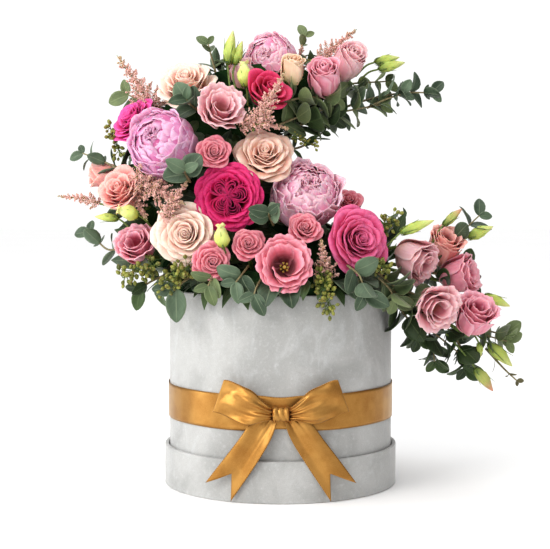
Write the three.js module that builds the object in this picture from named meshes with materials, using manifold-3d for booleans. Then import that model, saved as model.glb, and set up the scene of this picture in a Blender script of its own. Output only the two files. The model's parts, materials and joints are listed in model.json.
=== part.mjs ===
// A round velvet flower box standing in its own lid, tied with a satin bow, and holding a moon-shaped
// arrangement of cut flowers in floral foam. Millimetres, +Z up, the front faces -Y, and the origin is
// the centre of the face that the lid rests on.
import * as THREE from "three";
import { mergeVertices } from "three/addons/utils/BufferGeometryUtils.js";
import Module from "manifold-3d";

const wasm = await Module();
wasm.setup();

// ---- Driving dimensions ----
const GAP = 0.3; // between pieces that touch
const ROUND = 36; // sides of the box's round pieces
const FLOWER_SIDES = 6; // and of the stems and stakes
const BOARD = 2.5; // rigid cardboard
const VELVET = 0.7;
const BOX_RADIUS = 125; // outside the velvet
const BOX_HEIGHT = 216;
const LID_HEIGHT = 45;
const LID_CLEARANCE = 1; // round the box, inside the lid's velvet
const HEM_IN_BOX = 15; // velvet turned over the box's rim
const HEM_IN_LID = 8;
const LINER = 0.8; // waterproof film
const LINER_CLEARANCE = 1;
const LINER_BELOW_RIM = 12;
const LID_SKIN_LOW = 0.5; // its lower edge, just clear of the table

const RIBBON_WIDTH = 38;
const RIBBON = 0.6;
const RIBBON_HEIGHT = 95.5; // the band's middle, above the table
const BOW_REACH = 68; // from the knot to a loop's tip
const BOW_TILT = 17; // degrees that the loops rise
const BOW_BULGE = 9; // of a loop's front half; its back half bulges less, to clear the band
const BOW_BULGE_BEHIND = 3;
const LOOP_PARTING = 1.5; // the loop's ends, before and behind the knot's middle
const LOOP_WRAP = 0.45; // how closely the loops follow the box's curve, from 0 to 1
const TAIL_WRAP = 0.3;
const TAIL_START = { x: 7, below: 1 }; // where a tail leaves the knot, below it and to its side
const GATHER = 12; // width of the ribbon where the knot grips it
const LOOP_OPENING = 1.5; // how soon a loop reaches its full width, and below it a tail
const TAIL_OPENING = 2.4;
const LOOP_STEPS = 16;
const TAIL_STEPS = 8;
const STEPS_ACROSS = 2;
const TAIL_SPREAD = 66; // sideways, from the knot to a tail's end
const TAIL_END_HEIGHT = 14.5;
const SWALLOWTAIL = 14; // depth of the notch in a tail's end
const KNOT = [18, 13, 16];

const DOME = 24; // how far the foam stands above the rim
const DOME_BEVEL = 18;
const MOON = { x: -20, rise: 80, overhang: 20, thick: 54 }; // its centre rises this far above the dome
const HOLLOW = { x: 84, rise: 117, radius: 92 }; // the round bite that makes the disc a moon
const LEAF_COVER = 12; // depth of the leaves over the moon
const COLLAR = { clear: 2, reach: 24, hang: 22, rise: 12, thick: 14 }; // leaves over and outside the rim
const STAKE_RADIUS = 3;
const STAKE_LENGTH = 170;
const STAKE_IN_BASE = 80;
const STAKE_INSETS = { left: 75, right: 131 }; // from the moon's outer edge, on the left
const STEM_RADIUS = 1.8;

// ---- Levels and radii that follow from them ----
const FLOOR = BOARD; // top of the lid's panel
const BOX_BOTTOM = FLOOR + GAP;
const RIM = BOX_BOTTOM + BOX_HEIGHT;
const WALL_OUT = BOX_RADIUS - VELVET - GAP;
const WALL_IN = WALL_OUT - BOARD;
const LID_SKIN_IN = BOX_RADIUS + LID_CLEARANCE;
const LID_WALL_IN = LID_SKIN_IN + VELVET + GAP;
const LID_WALL_OUT = LID_WALL_IN + BOARD;
const LID_RADIUS = LID_WALL_OUT + GAP + VELVET;
const LINER_OUT = WALL_IN - GAP - VELVET - LINER_CLEARANCE;
const LINER_BOTTOM = BOX_BOTTOM + BOARD + GAP;
const FOAM_RADIUS = LINER_OUT - LINER - GAP;
const FOAM_BOTTOM = LINER_BOTTOM + LINER + GAP;
const FOAM_TOP = RIM + DOME;
const BEVEL_LOW = FOAM_TOP - DOME_BEVEL;
const MOON_RADIUS = BOX_RADIUS + MOON.overhang;
const MOON_Z = FOAM_TOP + MOON.rise;
const HOLLOW_Z = FOAM_TOP + HOLLOW.rise;
const MOON_BOTTOM = FOAM_TOP + GAP;
const TALL = 2 * (MOON.rise + MOON_RADIUS); // taller than anything above the rim

const flowerBox = new THREE.Group();

const COLOURS = {
  board: { color: 0xe9e4da, roughness: 0.9 },
  velvet: { color: 0xe4e3e1, roughness: 0.95 },
  film: { color: 0xdfe6e4, roughness: 0.3 },
  foam: { color: 0x4f7a45, roughness: 0.95 },
  wood: { color: 0xcaa774, roughness: 0.7 },
  satin: { color: 0xc58a3a, roughness: 0.35 },
  leaf: { color: 0x5d7a5b, roughness: 0.6 },
  plume: { color: 0xe0a190, roughness: 0.9 },
  blush: { color: 0xeebcc0, roughness: 0.6 },
  peach: { color: 0xf0bfa2, roughness: 0.6 },
  cream: { color: 0xf3d3bd, roughness: 0.6 },
  lilac: { color: 0xe2aecb, roughness: 0.6 },
  pink: { color: 0xdf8391, roughness: 0.6 },
  coral: { color: 0xdd7f78, roughness: 0.6 },
  rose: { color: 0xcf3f74, roughness: 0.6 },
  fuchsia: { color: 0xc2094f, roughness: 0.6 },
};

function place(name, geometry, colour) {
  const mesh = new THREE.Mesh(geometry, new THREE.MeshStandardMaterial(COLOURS[colour]));
  mesh.name = name;
  flowerBox.add(mesh);
  return mesh;
}

// ---- Between three.js geometry and manifold-3d solids ----
function toSolid(geometry) {
  const bare = (geometry.index ? geometry.toNonIndexed() : geometry).clone();
  bare.deleteAttribute("normal");
  bare.deleteAttribute("uv");
  const merged = mergeVertices(bare, 1e-4);
  return new wasm.Manifold(
    new wasm.Mesh({
      numProp: 3,
      vertProperties: new Float32Array(merged.attributes.position.array),
      triVerts: new Uint32Array(merged.index.array),
    }),
  );
}

function toGeometry(solid) {
  const mesh = solid.getMesh();
  const geometry = new THREE.BufferGeometry();
  geometry.setAttribute("position", new THREE.BufferAttribute(mesh.vertProperties, 3));
  geometry.setIndex(new THREE.BufferAttribute(mesh.triVerts, 1));
  return geometry;
}

// ---- Shapes ----

// A solid of revolution about Z, from [radius, height] points listed bottom to top round the outside.
function turned(points, sides = ROUND) {
  const profile = points.map(([radius, height]) => new THREE.Vector2(radius, height));
  return new THREE.LatheGeometry(profile, sides).rotateX(Math.PI / 2);
}

// A ring whose section is the closed polygon of those points.
function ring(points, sides = ROUND) {
  return turned([...points, points[0]], sides);
}

function disc(radius, low, high) {
  return turned([[0, low], [radius, low], [radius, high], [0, high]]);
}

// A velvet skin outside a wall that is turned in over the wall's rim as a hem.
function velvetSkin(inner, wallInner, low, top, hem) {
  const outer = inner + VELVET;
  const hemOut = wallInner - GAP;
  const hemIn = hemOut - VELVET;
  return ring([
    [inner, low],
    [outer, low],
    [outer, top],
    [hemIn, top],
    [hemIn, top - hem],
    [hemOut, top - hem],
    [hemOut, top - VELVET],
    [inner, top - VELVET],
  ]);
}

// A round disc standing upright, facing -Y, centred on (x, z).
function uprightDisc(x, z, radius, thick) {
  const geometry = new THREE.CylinderGeometry(radius, radius, thick, ROUND);
  return toSolid(geometry.translate(x, 0, z));
}

// A moon: a disc less a round bite, cut flat underneath. grow moves every face out by that much.
function moonSolid(grow, bottom) {
  const thick = MOON.thick + 2 * grow;
  const body = uprightDisc(MOON.x, MOON_Z, MOON_RADIUS + grow, thick);
  const bite = uprightDisc(HOLLOW.x, HOLLOW_Z, HOLLOW.radius - grow, 2 * thick);
  const under = new THREE.BoxGeometry(TALL, TALL, TALL).translate(0, 0, bottom - TALL / 2);
  return body.subtract(bite).subtract(toSolid(under));
}

// A ribbon: a flat strip whose points are moved by a function of u across (-1 to 1), v along (0 to 1)
// and the face (-1 or 1) of the strip that the point is on.
function ribbon(steps, bend) {
  const strip = new THREE.BoxGeometry(2, 1, 2, STEPS_ACROSS, steps, 1).translate(0, 0.5, 0);
  const points = strip.attributes.position;
  for (let i = 0; i < points.count; i++) {
    const [x, y, z] = bend(points.getX(i), points.getY(i), points.getZ(i));
    points.setXYZ(i, x, y, z);
  }
  return strip;
}

// ---- The box, its lid and its liner ----
function addBox() {
  place("lid_panel", disc(LID_WALL_OUT, 0, FLOOR), "board");
  const lidRing = [[LID_WALL_IN, FLOOR + GAP], [LID_WALL_OUT, FLOOR + GAP]];
  const lidTop = LID_HEIGHT - VELVET - GAP;
  place("lid_wall", ring([...lidRing, [LID_WALL_OUT, lidTop], [LID_WALL_IN, lidTop]]), "board");
  const lidSkin = velvetSkin(LID_WALL_OUT + GAP, LID_WALL_IN, LID_SKIN_LOW, LID_HEIGHT, HEM_IN_LID);
  place("lid_velvet", lidSkin, "velvet");

  place("box_floor", disc(WALL_OUT, BOX_BOTTOM, BOX_BOTTOM + BOARD), "board");
  const wallLow = BOX_BOTTOM + BOARD + GAP;
  const wallTop = RIM - VELVET - GAP;
  const wall = [[WALL_IN, wallLow], [WALL_OUT, wallLow], [WALL_OUT, wallTop], [WALL_IN, wallTop]];
  place("box_wall", ring(wall), "board");
  const skin = velvetSkin(WALL_OUT + GAP, WALL_IN, BOX_BOTTOM, RIM, HEM_IN_BOX);
  place("box_velvet", skin, "velvet");

  const linerIn = LINER_OUT - LINER;
  const linerTop = RIM - LINER_BELOW_RIM;
  const liner = turned([
    [0, LINER_BOTTOM],
    [LINER_OUT, LINER_BOTTOM],
    [LINER_OUT, linerTop],
    [linerIn, linerTop],
    [linerIn, LINER_BOTTOM + LINER],
    [0, LINER_BOTTOM + LINER],
  ]);
  place("liner", liner, "film");
}

// ---- The satin band and bow ----
const BAND_OUT = BOX_RADIUS + GAP + RIBBON;
const KNOT_Y = -(BAND_OUT + GAP + KNOT[1] / 2);

// How far a piece of the bow curves back towards the box at x.
function wrap(x, share) {
  return (share * x * x) / (2 * BOX_RADIUS);
}

function addBow() {
  const low = RIBBON_HEIGHT - RIBBON_WIDTH / 2;
  const high = low + RIBBON_WIDTH;
  const bandIn = BOX_RADIUS + GAP;
  const band = ring([[bandIn, low], [BAND_OUT, low], [BAND_OUT, high], [bandIn, high]]);
  place("ribbon_band", band, "satin");

  const knot = new THREE.SphereGeometry(0.5, 12, 8).scale(...KNOT);
  place("bow_knot", knot, "satin").position.set(0, KNOT_Y, RIBBON_HEIGHT);

  for (const [side, sign] of [["left", -1], ["right", 1]]) {
    place(`bow_loop_${side}`, bowLoop(), "satin").scale.x = sign;
    place(`bow_tail_${side}`, bowTail(), "satin").scale.x = sign;
  }
}

// The right loop's middle line at v: how far out from the knot's middle it is, and how far in front.
// It leaves the knot, turns at its tip and comes back behind.
function loopLine(v) {
  const start = KNOT[0] / 2 + GAP;
  const out = start + (BOW_REACH - start) * Math.sin(Math.PI * v) ** 2;
  const bulge = v < 0.5 ? BOW_BULGE : BOW_BULGE_BEHIND;
  const front = LOOP_PARTING * Math.cos(Math.PI * v) + bulge * Math.sin(2 * Math.PI * v);
  return new THREE.Vector2(out, front);
}

// Half the ribbon's width when it has opened from its gather (0) to its full width (1 or more).
function halfWidth(opened) {
  return THREE.MathUtils.lerp(GATHER, RIBBON_WIDTH, Math.min(1, opened)) / 2;
}

function bowLoop() {
  const rise = Math.tan(THREE.MathUtils.degToRad(BOW_TILT));
  const step = 0.001;
  return ribbon(LOOP_STEPS, (u, v, face) => {
    const along = loopLine(v + step).sub(loopLine(v - step)).normalize();
    const middle = loopLine(v);
    const out = middle.x + (along.y * face * RIBBON) / 2;
    const front = middle.y - (along.x * face * RIBBON) / 2;
    const half = halfWidth(LOOP_OPENING * Math.sin(Math.PI * v) ** 2);
    return [out, KNOT_Y - front + wrap(out, LOOP_WRAP), RIBBON_HEIGHT + out * rise + u * half];
  });
}

// The right tail, which hangs from under the knot to a swallowtail end.
function bowTail() {
  const top = new THREE.Vector2(TAIL_START.x, RIBBON_HEIGHT - KNOT[2] / 2 - TAIL_START.below);
  const end = new THREE.Vector2(TAIL_SPREAD, TAIL_END_HEIGHT);
  const length = top.distanceTo(end);
  const along = end.clone().sub(top).normalize();
  const front = LID_RADIUS + 2 * GAP + RIBBON;
  return ribbon(TAIL_STEPS, (u, v, face) => {
    const half = halfWidth(TAIL_OPENING * v);
    const notch = v === 1 ? SWALLOWTAIL * (1 - Math.abs(u)) : 0;
    const reach = v * length - notch;
    const x = top.x + along.x * reach + along.y * half * u;
    const z = top.y + along.y * reach - along.x * half * u;
    return [x, wrap(x, TAIL_WRAP) - front - (face * RIBBON) / 2, z];
  });
}

// ---- Flowers ----

// Profiles of a head of radius 1 about its stem: [radius, height] from the calyx up to the axis.
const HEADS = {
  rose: [[0.3, -0.72], [0.78, -0.42], [1, 0.05], [0.86, 0.34], [0.4, 0.44]],
  peony: [[0.4, -0.7], [0.88, -0.4], [1, 0.02], [0.82, 0.45], [0.42, 0.68]],
  bud: [[0.42, -0.9], [0.92, -0.4], [1, 0.1], [0.72, 0.7], [0.3, 0.95]],
  lisianthus: [[0.25, -0.8], [0.7, -0.35], [1, 0.15], [0.92, 0.3], [0.35, 0.12]],
  plume: [[0.7, -1.5], [1, -1], [0.75, 0], [0.42, 1], [0.16, 1.7]],
  branch: [[0.6, -2.2], [1, -1.4], [0.95, 0], [0.6, 1.4], [0.25, 2.3]],
};
const HEAD_TOPS = { rose: 0.46, peony: 0.76, bud: 1, lisianthus: 0.05, plume: 2, branch: 2.6 };

// A cut flower: its head at the origin, opening along +Y, and its stem down to its root. grow moves
// every face out by that much.
function flowerGeometry({ kind, radius, head, root }, grow = 0) {
  const end = -head.distanceTo(root) - grow;
  const bloom = HEADS[kind].map(([r, h]) => [r * radius + grow, h * radius + grow * Math.sign(h)]);
  const profile = [
    [0, end],
    [STEM_RADIUS + grow, end],
    [STEM_RADIUS + grow, bloom[0][1] - STEM_RADIUS],
    ...bloom,
    [0, HEAD_TOPS[kind] * radius + grow],
  ];
  return new THREE.LatheGeometry(profile.map((p) => new THREE.Vector2(...p)), FLOWER_SIDES);
}

// Moves an object to the flower's head and turns its +Y to the way that the flower faces.
function aim(object, { head, root }) {
  const way = head.clone().sub(root).normalize();
  object.quaternion.setFromUnitVectors(new THREE.Vector3(0, 1, 0), way);
  object.position.copy(head);
  object.updateMatrix();
}

// The room that a flower takes, as a solid, with a gap all round.
function roomFor(flower) {
  const holder = new THREE.Object3D();
  aim(holder, flower);
  return toSolid(flowerGeometry(flower, GAP).applyMatrix4(holder.matrix));
}

// A place by the moon: an angle round its centre (0 is right and 90 is up), a distance in from its
// outer edge, and a distance forward of its middle plane.
function inMoon(angle, inset, forward) {
  const turn = THREE.MathUtils.degToRad(angle);
  const reach = MOON_RADIUS - inset;
  return new THREE.Vector3(MOON.x + reach * Math.cos(turn), -forward, MOON_Z + reach * Math.sin(turn));
}

// The same, with the distance out from the moon's front or back face.
function before(angle, inset, out) {
  return inMoon(angle, inset, MOON.thick / 2 + out);
}

function behind(angle, inset, out) {
  return inMoon(angle, inset, -MOON.thick / 2 - out);
}

// A place by the hollow: an angle round its centre, a distance out from its edge into the moon, and a
// distance forward of the moon's middle plane.
function byHollow(angle, out, forward) {
  const turn = THREE.MathUtils.degToRad(angle);
  const reach = HOLLOW.radius + out;
  return new THREE.Vector3(HOLLOW.x + reach * Math.cos(turn), -forward, HOLLOW_Z + reach * Math.sin(turn));
}

// A place low in the moon's right horn: a distance in from the box's side, a distance forward of the
// moon's middle plane and a height above the dome.
function lowHorn(inset, forward, up) {
  return new THREE.Vector3(BOX_RADIUS - inset, -forward, FOAM_TOP + up);
}

// A place by the box's rim: an angle round the box (0 is right and -90 is the front), a distance out
// from its side and a height above the rim.
function byRim(angle, out, up) {
  const turn = THREE.MathUtils.degToRad(angle);
  const reach = BOX_RADIUS + out;
  return new THREE.Vector3(reach * Math.cos(turn), reach * Math.sin(turn), RIM + up);
}

// A place in the foam base: an angle round it, a distance in from its side and a depth below its top.
function inBase(angle, inset, deep) {
  return byRim(angle, FOAM_RADIUS - BOX_RADIUS - inset, DOME - deep);
}

function flower(name, kind, colour, radius, head, root) {
  return { name, kind, colour, radius, head, root };
}

const FLOWERS = [
  flower("peony_left", "peony", "lilac", 38, before(151, 20, 56), inMoon(154, 44, 9)),
  flower("peony_centre", "peony", "blush", 38, before(5, 96, 40), byHollow(221, 14, 9)),
  flower("peony_top", "peony", "lilac", 24, inMoon(88, -10, 8), inMoon(91, 40, -14)),
  flower("rose_fuchsia", "rose", "fuchsia", 34, before(176, 108, 66), inMoon(199, 115, 8)),
  flower("rose_cream_low", "rose", "cream", 31, before(204, 52, 66), inMoon(209, 61, 10)),
  flower("rose_cream_mid", "rose", "peach", 30, before(87, 97, 46), inMoon(254, 132, 15)),
  flower("rose_cream_top", "rose", "peach", 30, before(122, -10, 6), inMoon(128, 44, -2)),
  flower("rose_pink_right", "rose", "rose", 31, before(338, 34, 58), byHollow(254, 12, 15)),
  flower("rose_hot_top", "rose", "rose", 25, before(86, 29, 36), inMoon(95, 63, 16)),
  flower("ranunculus_left", "rose", "fuchsia", 25, before(149, -20, 4), inMoon(151, 28, 10)),
  flower("rose_peach_left", "rose", "peach", 23, before(177, -11, 30), inMoon(184, 37, 12)),
  flower("rose_far_left", "bud", "pink", 15, inMoon(173, -33, 0), inMoon(171, 24, -5)),
  flower("rose_dusty", "rose", "coral", 16, before(355, 50, 2), byHollow(257, 13, -2)),
  flower("spray_rose_mid", "rose", "pink", 18, before(136, 74, 62), inMoon(150, 86, 18)),
  flower("spray_rose_low", "rose", "pink", 18, byRim(-123, 11, 37), inBase(-131, 29, 9)),
  flower("spray_rose_front", "rose", "coral", 16, byRim(-107, -6, 53), inBase(-115, 52, 9)),
  flower("spray_rose_right", "rose", "coral", 16, byRim(-77, -14, 69), inBase(-74, 68, 9)),
  flower("lisianthus_open", "lisianthus", "pink", 27, byRim(-88, -4, 33), inBase(-88, 51, 9)),
  flower("lisianthus_left", "lisianthus", "pink", 20, before(199, -4, 44), inMoon(213, 21, 17)),
  flower("lisianthus_top", "lisianthus", "pink", 25, before(114, 36, 52), inMoon(117, 58, 17)),
  flower("rose_blush_top", "bud", "blush", 15, inMoon(104, -4, 5), inMoon(106, 42, -8)),
  flower("rosebud_cream", "bud", "cream", 14, before(75, 0, 8), inMoon(70, 39, 14)),
  flower("rosebud_pink", "bud", "pink", 17, before(62, -7, 8), byHollow(128, 8, 4)),
  flower("rosebud_top_right", "bud", "blush", 18, inMoon(56, -34, 10), byHollow(126, 11, -12)),
  flower("horn_lisianthus_1", "lisianthus", "blush", 21, byRim(-20, 32, 35), lowHorn(49, 2, 5)),
  flower("horn_lisianthus_2", "lisianthus", "coral", 15, byRim(-4, 58, 47), lowHorn(39, -4, 4)),
  flower("horn_lisianthus_3", "lisianthus", "pink", 17, byRim(-8, 76, 16), lowHorn(33, 4, 4)),
  flower("horn_lisianthus_4", "lisianthus", "pink", 21, byRim(-26, 58, -14), lowHorn(55, 19, 7)),
  flower("horn_lisianthus_5", "lisianthus", "pink", 18, byRim(-14, 94, -27), lowHorn(47, 16, 6)),
  flower("back_peony", "peony", "lilac", 34, behind(190, 88, 50), inMoon(210, 89, -4)),
  flower("back_rose_left", "rose", "peach", 28, behind(196, 20, 38), inMoon(208, 45, -14)),
  flower("back_rose_top", "rose", "rose", 27, behind(122, 34, 42), inMoon(126, 62, -14)),
  flower("back_rose_right", "rose", "cream", 28, behind(306, 60, 44), inBase(37, 98, 16)),
  flower("astilbe_far_left", "plume", "plume", 12, inMoon(181, -63, 0), inMoon(188, 24, -5)),
  flower("astilbe_top_left", "plume", "plume", 14, inMoon(139, -44, 0), inMoon(151, 37, -5)),
  flower("astilbe_left", "plume", "plume", 13, before(178, 25, 45), inMoon(188, 69, 8)),
  flower("astilbe_centre_top", "plume", "plume", 10, before(89, 55, 63), inMoon(128, 83, 12)),
  flower("astilbe_top_right", "plume", "plume", 11, inMoon(64, -40, -2), inMoon(77, 21, -2)),
  flower("eucalyptus_top_right", "branch", "leaf", 22, inMoon(36, -28, -4), byHollow(137, 11, -4)),
  flower("eucalyptus_low_right", "branch", "leaf", 22, byRim(2, 95, -41), lowHorn(60, -12, 7)),
  flower("eucalyptus_top", "branch", "leaf", 9, inMoon(73, -32, -14), inMoon(80, 24, -20)),
];

// Takes the room of each of the flowers that reaches it from a solid.
function clearOf(solid, flowers) {
  return flowers.reduce((left, one) => left.subtract(roomFor(one)), solid);
}

function addFoam() {
  const base = turned([
    [0, FOAM_BOTTOM],
    [FOAM_RADIUS, FOAM_BOTTOM],
    [FOAM_RADIUS, BEVEL_LOW],
    [FOAM_RADIUS - DOME_BEVEL, FOAM_TOP],
    [0, FOAM_TOP],
  ]);
  const places = Object.entries(STAKE_INSETS).map(([side, inset]) => [side, stakePlace(inset)]);
  const holes = places.map(([, at]) => toSolid(stakeGeometry(STAKE_RADIUS + GAP, GAP).translate(...at)));
  const drilled = (solid) => holes.reduce((left, hole) => left.subtract(hole), clearOf(solid, FLOWERS));
  place("foam_base", toGeometry(drilled(toSolid(base))), "foam");
  place("foam_moon", toGeometry(drilled(moonSolid(0, MOON_BOTTOM))), "foam");
  for (const [side, at] of places) {
    place(`stake_${side}`, stakeGeometry(STAKE_RADIUS, 0), "wood").position.set(...at);
  }
}

function stakeGeometry(radius, extra) {
  const length = STAKE_LENGTH + 2 * extra;
  return new THREE.CylinderGeometry(radius, radius, length, FLOWER_SIDES).rotateX(Math.PI / 2);
}

function stakePlace(inset) {
  return [MOON.x - MOON_RADIUS + inset, MOON.thick / 4, FOAM_TOP - STAKE_IN_BASE + STAKE_LENGTH / 2];
}

// The leaves that hide the foam: a cover over the moon, and a collar that starts on the dome's bevel,
// passes over the box's rim and hangs down outside it.
function addLeaves() {
  const inside = moonSolid(GAP, 0);
  const cover = moonSolid(LEAF_COVER, MOON_BOTTOM + 1).subtract(inside);
  place("leaf_cover", toGeometry(clearOf(cover, FLOWERS)), "leaf");

  const collar = ring([
    [FOAM_RADIUS - 3 * COLLAR.clear, BEVEL_LOW + 4 * COLLAR.clear],
    [FOAM_RADIUS + COLLAR.clear, BEVEL_LOW],
    [BOX_RADIUS + COLLAR.clear, RIM + COLLAR.clear],
    [BOX_RADIUS + COLLAR.clear, RIM - COLLAR.hang],
    [BOX_RADIUS + COLLAR.clear + COLLAR.thick, RIM - COLLAR.hang],
    [BOX_RADIUS + COLLAR.reach, RIM - COLLAR.clear],
    [BOX_RADIUS + COLLAR.thick, RIM + COLLAR.rise],
    [FOAM_RADIUS - 2 * COLLAR.clear, BEVEL_LOW + COLLAR.thick],
  ]);
  place("leaf_collar", toGeometry(clearOf(toSolid(collar), FLOWERS)), "leaf");
}

addBox();
addBow();
addFoam();
addLeaves();
for (const one of FLOWERS) {
  aim(place(one.name, flowerGeometry(one), one.colour), one);
}

export default flowerBox;
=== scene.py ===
"""The flower box as it looks: a velvet hat box in its lid, a satin bow, and a moon of flowers and leaves."""
import json
import math
import zlib

import bpy
import numpy as np
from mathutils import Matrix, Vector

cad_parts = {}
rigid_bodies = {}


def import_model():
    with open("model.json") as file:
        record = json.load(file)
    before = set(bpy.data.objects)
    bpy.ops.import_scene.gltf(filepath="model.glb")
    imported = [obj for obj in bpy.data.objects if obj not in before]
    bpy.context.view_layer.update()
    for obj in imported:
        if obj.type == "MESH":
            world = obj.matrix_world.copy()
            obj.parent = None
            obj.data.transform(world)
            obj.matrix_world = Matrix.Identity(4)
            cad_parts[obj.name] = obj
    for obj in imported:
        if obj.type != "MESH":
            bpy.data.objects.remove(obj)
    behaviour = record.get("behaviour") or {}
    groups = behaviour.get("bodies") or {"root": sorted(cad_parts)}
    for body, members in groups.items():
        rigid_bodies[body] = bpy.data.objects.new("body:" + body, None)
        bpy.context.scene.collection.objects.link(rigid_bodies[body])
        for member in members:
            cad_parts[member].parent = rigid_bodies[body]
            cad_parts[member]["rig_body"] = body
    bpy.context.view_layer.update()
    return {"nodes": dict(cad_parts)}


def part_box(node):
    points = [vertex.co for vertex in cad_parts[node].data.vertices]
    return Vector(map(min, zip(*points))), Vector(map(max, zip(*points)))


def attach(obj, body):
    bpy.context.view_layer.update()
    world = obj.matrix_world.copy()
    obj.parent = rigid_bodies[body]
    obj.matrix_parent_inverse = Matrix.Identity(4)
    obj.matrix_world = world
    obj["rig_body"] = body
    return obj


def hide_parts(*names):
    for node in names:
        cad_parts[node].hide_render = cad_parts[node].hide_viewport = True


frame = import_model()

MM = 0.001
PI = math.pi
GOLDEN_TURN = math.radians(137.5)
STEM_RADIUS = 1.8 * MM
PETAL_THICK = 0.45 * MM
LEAF_THICK = 0.35 * MM
MASS_LEAF_THICK = 0.3 * MM
BUD_SKIN_THICK = 0.25 * MM

# Material slots of each flower's mesh.
PETALS, GREEN, HEART = 0, 1, 2
# Material slots of each twig, plume and bud.
OUTER, STEM = 0, 1


def srgb(red, green, blue):
    """A colour that is 0 to 255 on a screen, in the linear values that Blender uses."""
    return tuple(((c / 255 + 0.055) / 1.055) ** 2.4 for c in (red, green, blue)) + (1.0,)


def dice(name):
    """The random numbers of one piece, the same in each run."""
    return np.random.default_rng(zlib.crc32(name.encode()))


def unit(vector):
    vector = np.asarray(vector, float)
    return vector / np.linalg.norm(vector)


def facing(azimuth, elevation):
    """A direction: azimuth 0 is the front, and 90 is the right."""
    a, e = math.radians(azimuth), math.radians(elevation)
    return np.array([math.sin(a) * math.cos(e), -math.cos(a) * math.cos(e), math.sin(e)])


def axes(up, ahead=(0.0, 0.0, 1.0)):
    """Rows of a turn that takes +Z to up, with +Y as near to ahead as it can be."""
    up = unit(up)
    ahead = np.asarray(ahead, float) - np.dot(ahead, up) * up
    if np.linalg.norm(ahead) < 1e-6:
        ahead = np.cross(up, (1.0, 0.0, 0.0))
    ahead = unit(ahead)
    return np.array([np.cross(ahead, up), ahead, up])


# ---- Materials ----

class Material:
    """A Principled material, built node by node."""

    def __init__(self, name, **sockets):
        self.made = bpy.data.materials.new(name)
        self.made.use_nodes = True
        self.tree = self.made.node_tree
        self.shader = next(n for n in self.tree.nodes if n.type == "BSDF_PRINCIPLED")
        for key, value in sockets.items():
            self.shader.inputs[key.replace("_", " ")].default_value = value

    def feed(self, socket, value):
        if isinstance(value, bpy.types.NodeSocket):
            self.tree.links.new(value, socket)
        else:
            socket.default_value = value

    def node(self, kind, inputs, **settings):
        made = self.tree.nodes.new("ShaderNode" + kind)
        for key, value in settings.items():
            setattr(made, key, value)
        for key, value in inputs.items():
            self.feed(made.inputs[key], value)
        return made

    def place(self):
        return self.node("TexCoord", {}).outputs["Object"]

    def marks(self):
        """(across, along, its own number) of the petal or leaf that a point is on."""
        vector = self.node("Attribute", {}, attribute_name="Petal").outputs["Vector"]
        split = self.node("SeparateXYZ", {"Vector": vector})
        return split.outputs["X"], split.outputs["Y"], split.outputs["Z"]

    def ring(self):
        return self.node("Attribute", {}, attribute_name="Ring").outputs["Fac"]

    def math(self, operation, a, b=0.0):
        return self.node("Math", {0: a, 1: b}, operation=operation).outputs[0]

    def times(self, a, b):
        return self.math("MULTIPLY", a, b)

    def plus(self, a, b):
        return self.math("ADD", a, b)

    def size_of(self, value):
        return self.math("ABSOLUTE", value)

    def wave(self, turns):
        return self.math("SINE", turns)

    def vector(self, x, y, z):
        return self.node("CombineXYZ", {"X": x, "Y": y, "Z": z}).outputs[0]

    def stretched(self, vector, by):
        return self.node("VectorMath", {0: vector, 1: by}, operation="MULTIPLY").outputs[0]

    def noise(self, vector, scale, detail=3.0, roughness=0.5, distortion=0.0):
        inputs = {"Vector": vector, "Scale": scale, "Detail": detail, "Roughness": roughness}
        return self.node("TexNoise", {**inputs, "Distortion": distortion}).outputs[0]

    def span(self, value, low, high, to_low=0.0, to_high=1.0):
        inputs = {"Value": value, "From Min": low, "From Max": high, "To Min": to_low, "To Max": to_high}
        return self.node("MapRange", inputs, clamp=True, interpolation_type="SMOOTHSTEP").outputs[0]

    def mix(self, share, a, b, blend="MIX"):
        made = self.node("Mix", {0: share}, data_type="RGBA", blend_type=blend)
        self.feed(made.inputs[6], a)
        self.feed(made.inputs[7], b)
        return made.outputs[2]

    def colour(self, value):
        self.feed(self.shader.inputs["Base Color"], value)

    def rough(self, value):
        self.feed(self.shader.inputs["Roughness"], value)

    def bump(self, *layers):
        """Each layer is (height, distance in metres, strength)."""
        normal = None
        for height, distance, strength in layers:
            inputs = {"Height": height, "Distance": distance, "Strength": strength}
            if normal is not None:
                inputs["Normal"] = normal
            normal = self.node("Bump", inputs).outputs[0]
        self.feed(self.shader.inputs["Normal"], normal)


def petal_material(name, deep, body, lip, foot):
    """A petal: deep is painted shade in the flower's heart, body further out, lip along its sides and tip is
    partly a paler rim and partly a painted highlight, and foot is painted shade at its base.
    """
    m = Material("petal_" + name, Roughness=0.5, Specular_IOR_Level=0.3, Sheen_Weight=0.12,
                 Sheen_Roughness=0.45, Subsurface_Weight=0.16, Subsurface_Scale=2.5 * MM)
    across, along, own = m.marks()
    # Painted shade: the deep colour fills the flower's heart, darkest in the inner rings where shade falls
    # among the petals.
    colour = m.mix(m.span(m.ring(), 0.0, 0.75), deep, body)
    # Painted shade: the foot colour darkens each petal towards its base.
    colour = m.mix(m.span(along, 0.75, 0.15), colour, foot)
    side = m.size_of(across)
    # The lip colour along the petal's sides and tip is partly its paler rim and partly a painted highlight on
    # the rims.
    lip_and_highlight = m.math("MAXIMUM", m.span(side, 0.74, 1.0), m.span(along, 0.76, 1.0))
    colour = m.mix(m.times(lip_and_highlight, 0.72), colour, lip)
    colour = m.mix(m.times(own, 0.25), colour, lip)
    veins = m.noise(m.vector(m.times(across, 9.0), along, m.times(own, 40.0)), 1.6, 4.0)
    clouds = m.noise(m.place(), 160.0, 3.0)
    colour = m.mix(m.span(veins, 0.35, 0.7, 0.0, 0.22), colour, deep)
    colour = m.mix(m.span(clouds, 0.4, 0.7, 0.0, 0.2), colour, lip)
    m.colour(colour)
    m.bump((veins, 0.5 * MM, 0.35), (clouds, 0.4 * MM, 0.3))
    return m.made


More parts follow.
